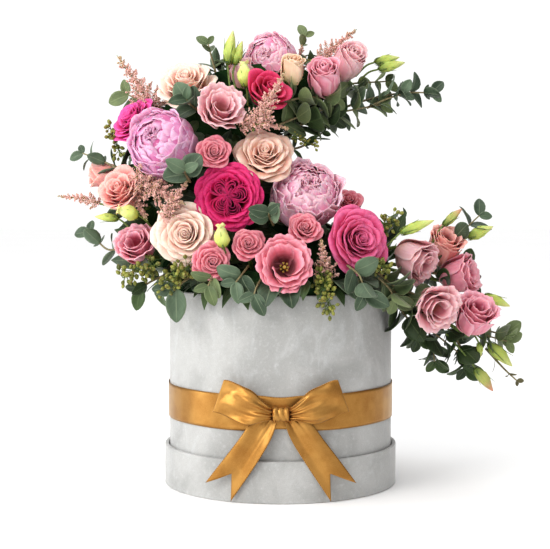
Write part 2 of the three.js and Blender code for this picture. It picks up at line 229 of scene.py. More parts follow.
def leaf_material(name, dark, light, rib, roughness, wax):
    """A leaf with a pale midrib, slanting side veins and a pale rim, its wax a soft sheen."""
    m = Material("leaf_" + name, Specular_IOR_Level=0.4, Sheen_Weight=wax)
    across, along, own = m.marks()
    side = m.size_of(across)
    blotches = m.noise(m.place(), 90.0, 4.0)
    paleness = m.plus(m.times(own, 0.75), m.span(blotches, 0.3, 0.8, 0.0, 0.3))
    colour = m.mix(paleness, dark, light)
    slant = m.math("SUBTRACT", m.times(along, 9.0), m.times(side, 3.0))
    veins = m.span(m.size_of(m.wave(m.times(slant, PI))), 0.16, 0.0)
    midrib = m.span(side, 0.08, 0.02)
    colour = m.mix(m.times(veins, 0.16), colour, rib)
    colour = m.mix(m.times(midrib, 0.42), colour, rib)
    colour = m.mix(m.span(side, 0.86, 1.0, 0.0, 0.35), colour, rib)
    m.colour(colour)
    m.rough(m.span(blotches, 0.3, 0.7, roughness - 0.08, roughness + 0.1))
    m.bump((m.math("MAXIMUM", veins, midrib), 0.3 * MM, 0.5), (m.noise(m.place(), 700.0), 0.15 * MM, 0.4))
    return m.made


def stalk_material(name, dark, light):
    """A stalk with fine streaks, paler towards its end."""
    m = Material("stalk_" + name, Roughness=0.5, Specular_IOR_Level=0.4)
    along = m.marks()[1]
    streaks = m.noise(m.stretched(m.place(), (900.0, 900.0, 120.0)), 1.0, 3.0)
    colour = m.mix(m.span(streaks, 0.3, 0.7), dark, light)
    colour = m.mix(m.span(along, 0.55, 1.0, 0.0, 0.5), colour, light)
    m.colour(colour)
    m.bump((streaks, 0.25 * MM, 0.5))
    return m.made


def bud_material(name, foot, body, tip):
    """A closed bud: its colour runs from foot to tip, in twisted streaks."""
    m = Material("bud_" + name, Roughness=0.45, Specular_IOR_Level=0.4, Subsurface_Weight=0.2,
                 Subsurface_Scale=2 * MM)
    across, along, own = m.marks()
    twist = m.plus(m.times(across, 5.0), m.times(along, 2.5))
    streaks = m.noise(m.vector(twist, m.times(along, 1.5), own), 2.2, 3.0)
    colour = m.mix(m.span(along, 0.0, 0.4), foot, body)
    colour = m.mix(m.span(m.plus(along, m.times(streaks, 0.3)), 0.6, 1.15), colour, tip)
    colour = m.mix(m.span(streaks, 0.4, 0.7, 0.0, 0.35), colour, foot)
    m.colour(colour)
    m.bump((streaks, 0.4 * MM, 0.5))
    return m.made


def floret_material():
    """Fluffy florets: most are pink, a few are dry and brown, and those at the tip are greener."""
    m = Material("astilbe_florets", Roughness=0.8, Specular_IOR_Level=0.2, Sheen_Weight=0.4)
    own = m.marks()[2]
    specks = m.noise(m.place(), 1400.0, 2.0)
    colour = m.mix(own, srgb(236, 166, 160), srgb(250, 216, 206))
    colour = m.mix(m.span(own, 0.82, 0.9), colour, srgb(196, 150, 92))
    colour = m.mix(m.span(m.ring(), 0.8, 1.0, 0.0, 0.7), colour, srgb(176, 162, 98))
    colour = m.mix(m.span(specks, 0.4, 0.7, 0.0, 0.5), colour, srgb(250, 214, 196))
    m.colour(colour)
    m.bump((specks, 0.3 * MM, 0.6))
    return m.made


def berry_material():
    """Green seeds with brown tips."""
    m = Material("eucalyptus_seeds", Roughness=0.55, Specular_IOR_Level=0.4)
    _, along, own = m.marks()
    colour = m.mix(own, srgb(72, 82, 34), srgb(142, 146, 66))
    colour = m.mix(m.span(along, 0.75, 1.0, 0.0, 0.8), colour, srgb(120, 84, 44))
    mottle = m.noise(m.place(), 900.0, 3.0)
    colour = m.mix(m.span(mottle, 0.45, 0.7, 0.0, 0.4), colour, srgb(214, 208, 132))
    m.colour(colour)
    m.bump((mottle, 0.2 * MM, 0.5))
    return m.made


def velvet_material():
    """Short crushed pile: cloudy where the nap lies one way or the other, and finely speckled."""
    m = Material("velvet", Roughness=0.85, Specular_IOR_Level=0.15, Sheen_Weight=0.6, Sheen_Roughness=0.35)
    place = m.place()
    clouds = m.noise(place, 16.0, 4.0, 0.55, 0.6)
    strokes = m.noise(m.stretched(place, (38.0, 38.0, 22.0)), 1.0, 5.0, 0.6, 1.4)
    pile = m.noise(place, 1900.0, 2.0)
    crush = m.noise(place, 260.0, 4.0, 0.65)
    colour = m.mix(m.span(clouds, 0.32, 0.68), srgb(169, 169, 167), srgb(190, 190, 188))
    colour = m.mix(m.span(strokes, 0.5, 0.74, 0.0, 0.5), colour, srgb(203, 205, 205))
    colour = m.mix(m.span(crush, 0.5, 0.75, 0.0, 0.35), colour, srgb(210, 211, 211))
    colour = m.mix(m.span(pile, 0.45, 0.75, 0.0, 0.35), colour, srgb(124, 124, 126))
    m.colour(colour)
    m.bump((strokes, 1.2 * MM, 0.12), (crush, 0.5 * MM, 0.35), (pile, 0.2 * MM, 0.45))
    return m.made


def satin_material():
    """Gold satin: its threads spread the shine across the ribbon, and its edges are woven in and stitched.
    The place along a ribbon is in metres, so the waves below turn so many radians a metre."""
    m = Material("satin", Metallic=0.85, Specular_IOR_Level=0.5, Anisotropic=0.8, Anisotropic_Rotation=0.25,
                 Sheen_Weight=0.35, Sheen_Roughness=0.3, Sheen_Tint=srgb(255, 232, 190))
    across, along, own = m.marks()
    threads = m.wave(m.times(along, 9000.0))
    stitches = m.wave(m.times(along, 3900.0))
    weave = m.noise(m.vector(m.times(across, 14.0), m.times(along, 2600.0), own), 1.0, 2.0)
    clouds = m.noise(m.place(), 45.0, 3.0)
    selvedge = m.span(m.size_of(across), 0.93, 0.965)
    stitched = m.times(selvedge, m.span(stitches, 0.2, 0.9, 0.0, 0.5))
    colour = m.mix(m.span(clouds, 0.3, 0.7), srgb(166, 118, 58), srgb(188, 142, 78))
    colour = m.mix(m.span(weave, 0.4, 0.7, 0.0, 0.3), colour, srgb(212, 164, 98))
    colour = m.mix(m.times(selvedge, 0.7), colour, srgb(140, 88, 36))
    colour = m.mix(stitched, colour, srgb(238, 196, 120))
    m.colour(colour)
    m.rough(m.span(weave, 0.2, 0.8, 0.36, 0.44))
    rows = (m.times(selvedge, stitches), 0.12 * MM, 0.4)
    m.bump(rows, (threads, 0.02 * MM, 0.15), (weave, 0.05 * MM, 0.2))
    return m.made


def board_material():
    """Grey-white cardboard with flecks in it."""
    m = Material("board", Roughness=0.85, Specular_IOR_Level=0.2)
    fibres = m.noise(m.stretched(m.place(), (300.0, 300.0, 900.0)), 1.0, 4.0, 0.6)
    flecks = m.noise(m.place(), 1200.0, 2.0)
    colour = m.mix(m.span(fibres, 0.3, 0.7), srgb(214, 208, 196), srgb(238, 234, 226))
    colour = m.mix(m.span(flecks, 0.62, 0.75, 0.0, 0.5), colour, srgb(176, 164, 146))
    m.colour(colour)
    m.bump((fibres, 0.3 * MM, 0.4))
    return m.made


def film_material():
    """Thin pale plastic, a little wrinkled."""
    m = Material("film", Specular_IOR_Level=0.5)
    wrinkles = m.noise(m.stretched(m.place(), (60.0, 60.0, 14.0)), 1.0, 4.0, 0.6, 1.0)
    colour = m.mix(m.span(wrinkles, 0.3, 0.7), srgb(206, 216, 212), srgb(236, 242, 240))
    m.colour(colour)
    m.rough(m.span(wrinkles, 0.2, 0.8, 0.2, 0.45))
    m.bump((wrinkles, 1.5 * MM, 0.5))
    return m.made


def foam_material():
    """Green floral foam: fine dark cells in soft lumps."""
    m = Material("foam", Roughness=0.95, Specular_IOR_Level=0.15)
    cells = m.node("TexVoronoi", {"Vector": m.place(), "Scale": 900.0}).outputs["Distance"]
    lumps = m.noise(m.place(), 60.0, 4.0)
    colour = m.mix(m.span(lumps, 0.3, 0.7), srgb(28, 52, 30), srgb(48, 78, 42))
    colour = m.mix(m.span(cells, 0.5, 0.15, 0.0, 0.6), colour, srgb(16, 30, 18))
    m.colour(colour)
    m.bump((cells, 0.5 * MM, 0.8), (lumps, 2 * MM, 0.4))
    return m.made


def bamboo_material():
    """Split bamboo with fine fibres and a dark ring at each node."""
    m = Material("bamboo", Roughness=0.5, Specular_IOR_Level=0.4)
    fibres = m.noise(m.stretched(m.place(), (2200.0, 2200.0, 60.0)), 1.0, 3.0)
    nodes = m.span(m.size_of(m.wave(m.stretched(m.place(), (0.0, 0.0, 70.0)))), 0.12, 0.0)
    colour = m.mix(m.span(fibres, 0.3, 0.7), srgb(190, 156, 100), srgb(222, 196, 142))
    colour = m.mix(m.times(nodes, 0.6), colour, srgb(138, 104, 62))
    m.colour(colour)
    m.bump((fibres, 0.2 * MM, 0.5), (nodes, 0.5 * MM, 0.6))
    return m.made


# Each palette's slot in the record, and its colours in the heart (painted shade), on the petal, on its lip (a
# paler rim and a painted highlight) and at its foot (painted shade).
PALETTES = {
    "lilac": ("lilac", (180, 28, 115), (219, 154, 194), (236, 201, 223), (200, 99, 154)),
    "blush": ("blush", (213, 104, 148), (233, 175, 198), (244, 217, 224), (211, 124, 158)),
    "fuchsia": ("fuchsia", (114, 0, 37), (202, 5, 88), (227, 63, 132), (136, 0, 42)),
    "magenta": ("fuchsia", (171, 10, 81), (219, 34, 132), (237, 104, 180), (184, 10, 68)),
    "cream": ("cream", (230, 152, 136), (244, 208, 194), (250, 234, 220), (238, 188, 158)),
    "peach": ("peach", (226, 144, 120), (243, 192, 172), (250, 226, 212), (214, 152, 92)),
    "hot": ("rose", (144, 4, 36), (211, 22, 79), (230, 81, 128), (144, 4, 32)),
    "rose": ("rose", (171, 12, 61), (219, 67, 125), (237, 129, 171), (208, 60, 108)),
    "coral": ("coral", (169, 17, 50), (224, 108, 130), (241, 171, 180), (204, 70, 92)),
    "salmon": ("coral", (204, 101, 108), (234, 155, 150), (246, 200, 188), (224, 128, 108)),
    "pink": ("pink", (200, 79, 111), (231, 142, 162), (243, 193, 203), (215, 123, 135)),
    "open": ("pink", (194, 80, 105), (232, 125, 146), (244, 177, 188), (83, 34, 25)),
    "pale": ("blush", (217, 121, 139), (239, 180, 188), (245, 213, 214), (235, 184, 167)),
    "ivory": ("cream", (225, 163, 130), (238, 204, 175), (243, 223, 197), (208, 194, 133)),
}
PETAL = {
    name: petal_material(name, *(srgb(*colour) for colour in colours)) for name,
    (_, *colours) in PALETTES.items()
}
ROUND_LEAF = leaf_material("eucalyptus", srgb(44, 62, 44), srgb(112, 132, 106), srgb(150, 162, 132), 0.46,
                           0.12)
OLIVE_LEAF = leaf_material("olive", srgb(66, 84, 54), srgb(124, 138, 92), srgb(156, 166, 120), 0.5, 0.2)
DARK_LEAF = leaf_material("dark", srgb(36, 52, 30), srgb(76, 98, 56), srgb(106, 126, 80), 0.42, 0.1)
TWIG_LEAF = leaf_material("brown", srgb(70, 66, 44), srgb(120, 116, 80), srgb(150, 140, 104), 0.5, 0.1)
STALK = stalk_material("green", srgb(70, 92, 42), srgb(132, 150, 80))
TWIG = stalk_material("twig", srgb(96, 84, 60), srgb(150, 140, 104))
GREEN_BUD = bud_material("green", srgb(128, 150, 66), srgb(190, 200, 104), srgb(226, 222, 150))
PALE_BUD = bud_material("pale", srgb(160, 172, 70), srgb(212, 214, 122), srgb(234, 230, 164))
PINK_BUD = bud_material("pink", srgb(120, 140, 66), srgb(186, 188, 110), srgb(224, 150, 130))
STIGMA = bud_material("stigma", srgb(150, 160, 60), srgb(206, 204, 92), srgb(236, 222, 128))
FLORETS = floret_material()
BERRIES = berry_material()
VELVET = velvet_material()
SATIN = satin_material()


# ---- Meshes ----

class Sheets:
    """Curved grids gathered into one mesh. Each point keeps what the materials read: its place across
    and along its petal or leaf, that petal's own number, and the ring that the petal stands in."""

    def __init__(self):
        self.points, self.faces, self.petals, self.rings, self.slots = [], [], [], [], []
        self.count = 0

    def grid(self, points, ring=0.0, own=0.0, slot=0, closed=False, looped=False, length=1.0):
        """closed joins the last column to the first, and looped the last row to the first. length is
        what the place along counts up to, which is the real length in metres on a ribbon."""
        rows, columns = points.shape[:2]
        index = np.arange(rows * columns).reshape(rows, columns) + self.count
        along, across = np.meshgrid(np.linspace(0, length, rows), np.linspace(-1, 1, columns), indexing="ij")
        if closed:
            index = np.concatenate([index, index[:, :1]], axis=1)
            across = np.sin(across * PI)
        if looped:
            index = np.concatenate([index, index[:1]], axis=0)
        corners = index[:-1, :-1], index[:-1, 1:], index[1:, 1:], index[1:, :-1]
        faces = np.stack(corners, axis=-1).reshape(-1, 4)
        self.points.append(points.reshape(-1, 3))
        self.faces.append(faces)
        self.petals.append(np.stack([across, along, np.full_like(along, own)], axis=-1).reshape(-1, 3))
        self.rings.append(np.full(rows * columns, ring))
        self.slots.append(np.full(len(faces), slot))
        self.count += rows * columns

    def solid(self, points, faces, along, ring=0.0, own=0.0, slot=0):
        """A closed shape with faces of three corners."""
        self.points.append(points)
        self.faces.append(np.asarray(faces) + self.count)
        self.petals.append(np.stack([np.zeros(len(points)), along, np.full(len(points), own)], axis=-1))
        self.rings.append(np.full(len(points), ring))
        self.slots.append(np.full(len(faces), slot))
        self.count += len(points)

    def move(self, turn, to):
        """Turns all that is gathered by the rows of turn, then moves it."""
        self.points = [p @ turn + to for p in self.points]

    def make(self, name, body, materials, replaces=(), thick=0.0):
        mesh = bpy.data.meshes.new(name)
        faces = [row for block in self.faces for row in block.tolist()]
        mesh.from_pydata(np.concatenate(self.points).tolist(), [], faces)
        mesh.attributes.new("Petal", "FLOAT_VECTOR", "POINT").data.foreach_set(
            "vector", np.concatenate(self.petals).astype(np.float32).ravel())
        mesh.attributes.new("Ring", "FLOAT", "POINT").data.foreach_set(
            "value", np.concatenate(self.rings).astype(np.float32))
        for material in materials:
            mesh.materials.append(material)
        mesh.polygons.foreach_set("material_index", np.concatenate(self.slots).astype(np.int32))
        mesh.shade_smooth()
        piece = bpy.data.objects.new(name, mesh)
        bpy.context.scene.collection.objects.link(piece)
        if thick:
            solid = piece.modifiers.new("thickness", "SOLIDIFY")
            solid.thickness = thick
            solid.offset = 0.0
        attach(piece, body)
        if replaces:
            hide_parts(*replaces)
        return piece


def grid(along, across):
    return np.meshgrid(np.linspace(0, 1, along), np.linspace(-1, 1, across), indexing="ij")


def turned_about_axis(points, angle):
    c, s = math.cos(angle), math.sin(angle)
    return points @ np.array([[c, s, 0.0], [-s, c, 0.0], [0.0, 0.0, 1.0]])


def petal(turn, foot, leans, length, width, waist=0.4, drop=0.35, corner=3.0, notch=0.0, point=0.0,
          wrap=1.0, flat=0.0, skew=0.0, curl=0.0, ruffle=0.0, waves=2.0, phase=0.0, size=(11, 9)):
    """A petal about the flower's axis. It starts at foot (out, up), and its lean away from the axis is
    given in degrees at even steps along it. Its sides end sooner than its middle by drop, wrap says
    how closely it bends round the axis, skew slides one side out and the other in, curl rolls its sides
    back, and ruffle waves its lip."""
    along, across = grid(*size)
    side = np.abs(across)
    reach = along * (1 - drop * side ** corner - notch * np.exp(-(across / 0.16) ** 2)
                     + point * np.exp(-(across / 0.3) ** 2))
    steps = np.linspace(0, 1, 41)
    lean = np.radians(np.interp(steps, np.linspace(0, 1, len(leans)), leans))
    gains = np.stack([np.sin(lean), np.cos(lean)])
    sums = np.concatenate([np.zeros((2, 1)), np.cumsum((gains[:, 1:] + gains[:, :-1]) / 2, axis=1)], axis=1)
    line = sums * length / (len(steps) - 1)
    out = np.maximum(foot[0] + np.interp(reach, steps, line[0]), 1e-4)
    up = foot[1] + np.interp(reach, steps, line[1])
    lean = np.interp(reach, steps, lean)
    half = width / 2 * (waist + (1 - waist) * np.sin(PI / 2 * np.minimum(1, reach / 0.6)))
    bend = np.maximum(wrap * out + flat, 0.0004)
    angle = np.clip(across * half / bend, -2.7, 2.7)
    push = skew * across + curl * side ** 3 * along
    wave = np.sin(waves * PI * across + phase) + 0.5 * np.sin(2.7 * waves * PI * across + 2 * phase)
    push += ruffle * along ** 2 * wave
    tilt = push * np.cos(lean)
    x = out - bend + bend * np.cos(angle) + tilt * np.cos(angle)
    y = bend * np.sin(angle) + tilt * np.sin(angle)
    return turned_about_axis(np.stack([x, y, up - push * np.sin(lean)], axis=-1), turn)


def between(inner, outer, share):
    return [a + (b - a) * share for a, b in zip(inner, outer)]


def tube(sheets, line, radii, sides=8, slot=GREEN, own=0.5, ring=1.0):
    """A round stalk along a line of points, closed at both ends by narrowing to almost nothing."""
    line = np.asarray(line, float)
    radii = np.asarray(radii, float)
    line = np.concatenate([line[:1], line, line[-1:]])
    radii = np.concatenate([[radii[0] * 0.02], radii, [radii[-1] * 0.02]])
    ways = np.gradient(line, axis=0)
    ways[0], ways[-1] = ways[1], ways[-2]
    rows = []
    side = axes(ways[1], (0.3, 0.9, 0.2))[0]
    for point, way, radius in zip(line, ways, radii):
        way = unit(way)
        side = unit(side - np.dot(side, way) * way)
        other = np.cross(way, side)
        angles = np.arange(sides) * 2 * PI / sides
        rows.append(point + radius * (np.outer(np.cos(angles), side) + np.outer(np.sin(angles), other)))
    sheets.grid(np.array(rows), ring, own, slot, closed=True)


def smooth_line(points, steps):
    """Points along a smooth curve through the given ones."""
    points = np.asarray(points, float)
    if len(points) == 2:
        return points[0] + np.linspace(0, 1, steps)[:, None] * (points[1] - points[0])
    padded = np.concatenate([2 * points[:1] - points[1:2], points, 2 * points[-1:] - points[-2:-1]])
    made = []
    for share in np.linspace(0, len(points) - 1, steps):
        k = min(int(share), len(points) - 2)
        t = share - k
        a, b, c, d = padded[k:k + 4]
        made.append(0.5 * (2 * b + (c - a) * t + (2 * a - 5 * b + 4 * c - d) * t ** 2
                           + (3 * b - a - 3 * c + d) * t ** 3))
    return np.array(made)


# ---- The velvet box, its lid and the board inside ----

HEM_WALL = 3.5 * MM  # from the velvet's outside to the face of its hem that lies on the board
VELVET_THICK = 0.7 * MM
RIM_ROUND = 1.3 * MM
FOOT_ROUND = 0.5 * MM
GLUE_GAP = 0.2 * MM
NAP_DEPTH = 0.09 * MM
AROUND = 192  # points in each ring of the velvet


def rounded(centre, radius, start, end, steps=5):
    """Points of an arc in (out, up), from one angle to another in degrees."""
    angles = np.radians(np.linspace(start, end, steps))
    return [(centre[0] + radius * math.cos(a), centre[1] + radius * math.sin(a)) for a in angles]


def body_of(node):
    return frame["nodes"][node]["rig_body"]


def velvet_skin(node, hem):
    """Velvet glued round a wall and turned in over its rim, with soft edges and a slightly uneven nap."""
    random = dice(node)
    low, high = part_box(node)
    outside, bottom, top = high.x, low.z, high.z
    inside = outside - VELVET_THICK
    hem_out = outside - HEM_WALL
    hem_in = hem_out - VELVET_THICK
    under_rim = top - VELVET_THICK - GLUE_GAP
    profile = rounded((outside - FOOT_ROUND, bottom + FOOT_ROUND), FOOT_ROUND, -90, 0, 4)
    profile += [(outside, z) for z in np.linspace(bottom + RIM_ROUND, top - RIM_ROUND, 26)]
    profile += rounded((outside - RIM_ROUND, top - RIM_ROUND), RIM_ROUND, 10, 90)
    profile += rounded((hem_in + RIM_ROUND, top - RIM_ROUND), RIM_ROUND, 90, 180)
    profile += [(hem_in, top - hem * share) for share in (0.3, 0.65, 1.0)]
    profile += [(hem_out, top - hem), (hem_out, under_rim), (inside, under_rim)]
    profile += [(inside, z) for z in np.linspace(top - 4 * MM, bottom, 5)]
    rows = np.array(profile)
    out, up = rows[:, :1], rows[:, 1:]
    turns = np.arange(AROUND) * 2 * PI / AROUND
    waves = [(random.integers(3, 26), random.uniform(20, 90), random.uniform(0, 6)) for _ in range(14)]
    nap = sum(np.sin(n * turns + 3 * slope * up + phase) for n, slope, phase in waves) / len(waves)
    depth = (out > outside - 0.05 * MM) * NAP_DEPTH
    out = out + (nap - 1) * depth
    points = np.stack([out * np.cos(turns), out * np.sin(turns), up + 0 * turns], axis=-1)
    sheets = Sheets()
    sheets.grid(points, closed=True, looped=True)
    piece = sheets.make(node + "_wrap", body_of(node), [VELVET], [node])


def finish_nodes():
    """Materials for the CAD nodes that stay as they are."""
    film, foam, board, bamboo = film_material(), foam_material(), board_material(), bamboo_material()
    finishes = {
        "lid_panel": board, "lid_wall": board, "box_floor": board, "box_wall": board, "liner": film,
        "foam_base": foam, "foam_moon": foam, "stake_left": bamboo, "stake_right": bamboo,
    }
    for name, material in finishes.items():
        mesh = frame["nodes"][name].data
        mesh.materials.clear()
        mesh.materials.append(material)
        mesh.shade_smooth()
        mesh.set_sharp_from_angle(angle=math.radians(30))


velvet_skin("box_velvet", 15 * MM)
velvet_skin("lid_velvet", 8 * MM)
finish_nodes()


# ---- The satin band and bow ----
# Places are in millimetres until a ribbon is made.

RIBBON_WIDE = 38.0
RIBBON_HIGH = 95.5
RIBBON_THICK = 0.42
LOOP_LENGTH = 125.0
TAIL_LENGTH = 98.0
KNOT_WRAP = (42.0, 28.0)
KNOT_OUT = 132.7
KNOT_SIZE = (18.0, 13.0, 16.0)
TAIL_OUT = 132.4
LID_CLEAR = 131.3  # the tails hang no closer to the axis than this, so they pass in front of the lid
BOX_CURVE = 250.0  # the box's diameter, which bends the bow back at its sides


def ribbon(name, points, nodes, length, closed=False):
    """A strip of satin from rows of points, in millimetres, along its length in millimetres."""
    sheets = Sheets()
    sheets.grid(np.asarray(points) * MM, own=0.3, looped=closed, length=length * MM)
    piece = sheets.make(name, "box", [SATIN], nodes, RIBBON_THICK * MM)


def band():
    """The band round the box, drawn a little in towards the knot."""
    random = dice("band")
    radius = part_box("ribbon_band")[1].x / MM + 0.05
    turns = np.arange(300) * 2 * PI / 300
    across = np.linspace(-1, 1, 13)[None]
    waves = [(n, random.uniform(0.02, 0.1), random.uniform(0, 6)) for n in random.integers(14, 60, 9)]
    wave = sum(size * np.sin(n * turns + phase) for n, size, phase in waves)[:, None]
    front = np.exp(-((turns - 1.5 * PI) / 0.14) ** 2)[:, None]
    pleats = 0.5 * front * np.cos(2.5 * PI * across + 0.7)
    out = radius + 0.25 * wave * (1 - 0.3 * across ** 2) + pleats - 0.12 * across ** 4 + 0.2
    up = RIBBON_HIGH + across * RIBBON_WIDE / 2 * (1 - 0.12 * front) + 0.25 * np.sin(7 * turns)[:, None]
    points = np.stack([out * np.cos(turns)[:, None], out * np.sin(turns)[:, None], up], axis=-1)
    around = 2 * PI * radius
    ribbon("ribbon_band_satin", points, ["ribbon_band"], around,
           closed=True)


def bow_loop(name, side, random):
    """One loop: a front face that bulges, a sharp turn at its tip, and a back face behind it."""
    front_rows, fold_rows, back_rows = 46, 5, 26
    at_knot, half_at_knot, half_open = 8.6, 6.4, 17.6
    tip_low, tip_high = np.array([70.5, 97.0]), np.array([58.8, 131.0])
    ahead, home = np.linspace(0, 1, front_rows) ** 0.9, np.linspace(1, 0, back_rows)
    out = np.concatenate([ahead, np.ones(fold_rows), home])[:, None]
    back = np.concatenate([np.zeros(front_rows), np.linspace(0.15, 0.85, fold_rows),
                           np.ones(back_rows)])[:, None]
    across = np.linspace(-1, 1, 31)[None]
    tip = tip_low + (tip_high - tip_low) * ((across + 1) / 2)[..., None]
    opened = np.clip(out / 0.5, 0, 1)
    opened = opened * opened * (3 - 2 * opened)
    half = half_at_knot + (half_open - half_at_knot) * opened
    x = at_knot + (tip[..., 0] - at_knot) * out
    middle = RIBBON_HIGH + 18.5 * out ** 0.92 - 1.2 * np.sin(PI * out)
    up = (middle + half * across) * (1 - out ** 6) + out ** 6 * tip[..., 1]
    phase = random.uniform(0, 6)
    folds = 1.9 * np.cos(3.1 * PI * across + phase) + np.cos(5.7 * PI * across + 2 * phase)
    folds = (1 - out) ** 1.5 * folds
    dents = 2.2 * np.sin(1.3 * PI * across + 2.4 * out * PI + phase)
    dents = np.sin(PI * out) * (dents + 1.3 * np.sin(3.3 * across - 6 * out + phase))
    front = 1.4 + 9.5 * np.sin(PI * out ** 0.7) * (1 - 0.35 * across ** 2) + folds + dents
    behind = -1.2 - 2.0 * np.sin(PI * out) * (1 - 0.2 * across ** 2) + 0.4 * folds
    depth = front * (1 - back) + behind * back
    in_fold = (back > 0) & (back < 1)
    bulge = np.where(in_fold, 0.9 * np.sin(PI * back), 0.0)
    y = -KNOT_OUT - depth + 0.45 * x ** 2 / BOX_CURVE
    points = np.stack([side * (x + bulge), y, up], axis=-1)[:, ::side]
    ribbon(name + "_satin", points, [name], LOOP_LENGTH)


def bow_tail(name, side, random):
    """One tail: it comes from under the knot, opens to its full width and ends in a swallowtail."""
    steps = 48
    notch = 0.155
    outer = smooth_line([(8.5, 95), (20, 93), (31, 87.5), (45, 68), (62, 45), (79.8, 20.8)], steps)
    inner = smooth_line([(2.5, 92), (4.5, 87), (8.5, 74), (17.5, 57), (34, 30.5), (52.8, 2.2)], steps)
    even = np.linspace(0, 1, steps)
    phase = random.uniform(0, 6)
    columns = []
    for across in np.linspace(-1, 1, 25):
        ends = even * (1 - notch * (1 - abs(across)))
        lane = inner + (outer - inner) * (across + 1) / 2
        x, z = (np.interp(ends, even, lane[:, k]) for k in (0, 1))
        folds = 2.4 * np.cos(2.4 * PI * across + 0.8) + 1.1 * np.cos(5.2 * PI * across + phase)
        sway = 2.4 * np.sin(PI * ends) * np.sin(1.1 * PI * across + 2.5 * ends + phase)
        sway += 2.6 * np.sin(2.4 * PI * ends + phase)
        y = -TAIL_OUT - np.exp(-4.2 * ends) * folds - sway * ends ** 0.5 + 0.42 * x ** 2 / BOX_CURVE
        in_front = -np.sqrt(np.maximum(LID_CLEAR ** 2 - x ** 2, 0))
        columns.append(np.stack([side * x, np.minimum(y, in_front), z], axis=-1))
    points = np.stack(columns, axis=1)[:, ::side]
    ribbon(name + "_satin", points, [name], TAIL_LENGTH)


def bow_knot():
    """The wrap over the bow's middle, folded lengthwise into a few pleats."""
    wide, deep, tall = np.array(KNOT_SIZE) / 2
    turns = np.linspace(0, 2 * PI, 41)[:-1, None]
    across = np.linspace(-1, 1, 45)[None]
    pleats = np.abs(np.sin(1.55 * PI * across + 1.1 * np.sin(turns + 0.5) + 0.6)) ** 0.7
    waist = 0.84 + 0.2 * np.abs(across) ** 2.2
    rim = np.sqrt(np.clip(1 - np.abs(across) ** 9, 0, 1)) * 0.5 + 0.5
    scale = waist * rim * (0.88 + 0.2 * pleats)
    x = across * wide * (1 + 0.05 * np.sin(turns))
    y = -KNOT_OUT + 0.6 - deep * scale * np.cos(turns)
    z = RIBBON_HIGH + tall * scale * np.sin(turns)
    points = np.stack([x, y, z], axis=-1)
    length, wide_open = KNOT_WRAP
    ribbon("bow_knot_satin", points, ["bow_knot"], length, True)


band()
bow_knot()
for which, sign in (("left", -1), ("right", 1)):
    bow_loop("bow_loop_" + which, sign, dice("loop_" + which))
    bow_tail("bow_tail_" + which, sign, dice("tail_" + which))


# ---- Flowers ----
# Each maker fills sheets with a flower of the given radius, its head's middle at the origin and its
# face up +Z.

def calyx(sheets, random, radius, foot):
    """Green sepals under the petals, round the top of the stem."""
    sepals = 5
    for k in range(sepals):
        turn = (k + random.uniform(-0.15, 0.15)) * 2 * PI / sepals
        points = petal(turn, (STEM_RADIUS, foot), [70, 45, 30, 85], radius * 0.75, radius * 0.42, waist=0.6,
                       drop=0.75, corner=1.3, flat=radius * 0.2, curl=-0.04 * radius, size=(7, 5))
        sheets.grid(points, 1.0, random.random(), GREEN)


def uneven(leans, random, most=5):
    return [lean + random.uniform(-most, most) for lean in leans]


def rose(sheets, random, radius, petals=26, opened=1.0, tall=1.0, wavy=0.02):
    """A spiral of petals from a tight heart to an open rim."""
    foot_high = -0.52 * radius
    for k in range(petals):
        t = k / (petals - 1)
        share = min(1.0, opened * t ** 1.15)
        leans = uneven(between([28, 4, -6, -12, -8, 6], [80, 62, 34, 34, 72, 112], share), random)
        length = radius * (1.0 + 0.17 * share) * tall * random.uniform(0.95, 1.04)
        width = radius * (0.42 + 0.95 * share ** 0.8) * random.uniform(0.9, 1.12)
        foot = (radius * (0.03 + 0.05 * t), foot_high)
        points = petal(k * GOLDEN_TURN + random.uniform(-0.2, 0.2), foot, leans, length, width, waist=0.5,
                       drop=0.22 + 0.1 * share, corner=2.6, flat=radius * 0.12 * share ** 2,
                       skew=radius * 0.035 * (1 - 0.4 * share), curl=radius * 0.10 * share,
                       point=0.03 * share, ruffle=radius * wavy * (0.3 + share),
                       waves=random.uniform(1.2, 2.2),
                       phase=random.uniform(0, 6), size=(11, 11))
        sheets.grid(points, t, random.random(), PETALS)
    return foot_high


def fold(reach, half, low, high, random):
    """A petal folded into a narrow loop that points out from the flower's axis, standing on its edge."""
    along, across = grid(8, 25)
    out = reach * (1 - 0.9 * np.abs(across) ** 2.1)
    aside = half * np.sin(2.75 * across)
    ripple = 0.035 * reach * np.sin(random.uniform(3, 6) * across * PI + random.uniform(0, 6))
    crown = high - 0.16 * reach * (out / reach) ** 2 + ripple
    up = low + (crown - low) * along
    lean = 0.14 * reach * along ** 3
    wobble = 0.03 * reach * np.sin(5 * along + random.uniform(0, 6)) * np.sin(4 * across
                                                                              + random.uniform(0, 6))
    return np.stack([out + lean * (1 - np.abs(across)), aside * (1 + 0.25 * along ** 2) + wobble, up],
                    axis=-1)


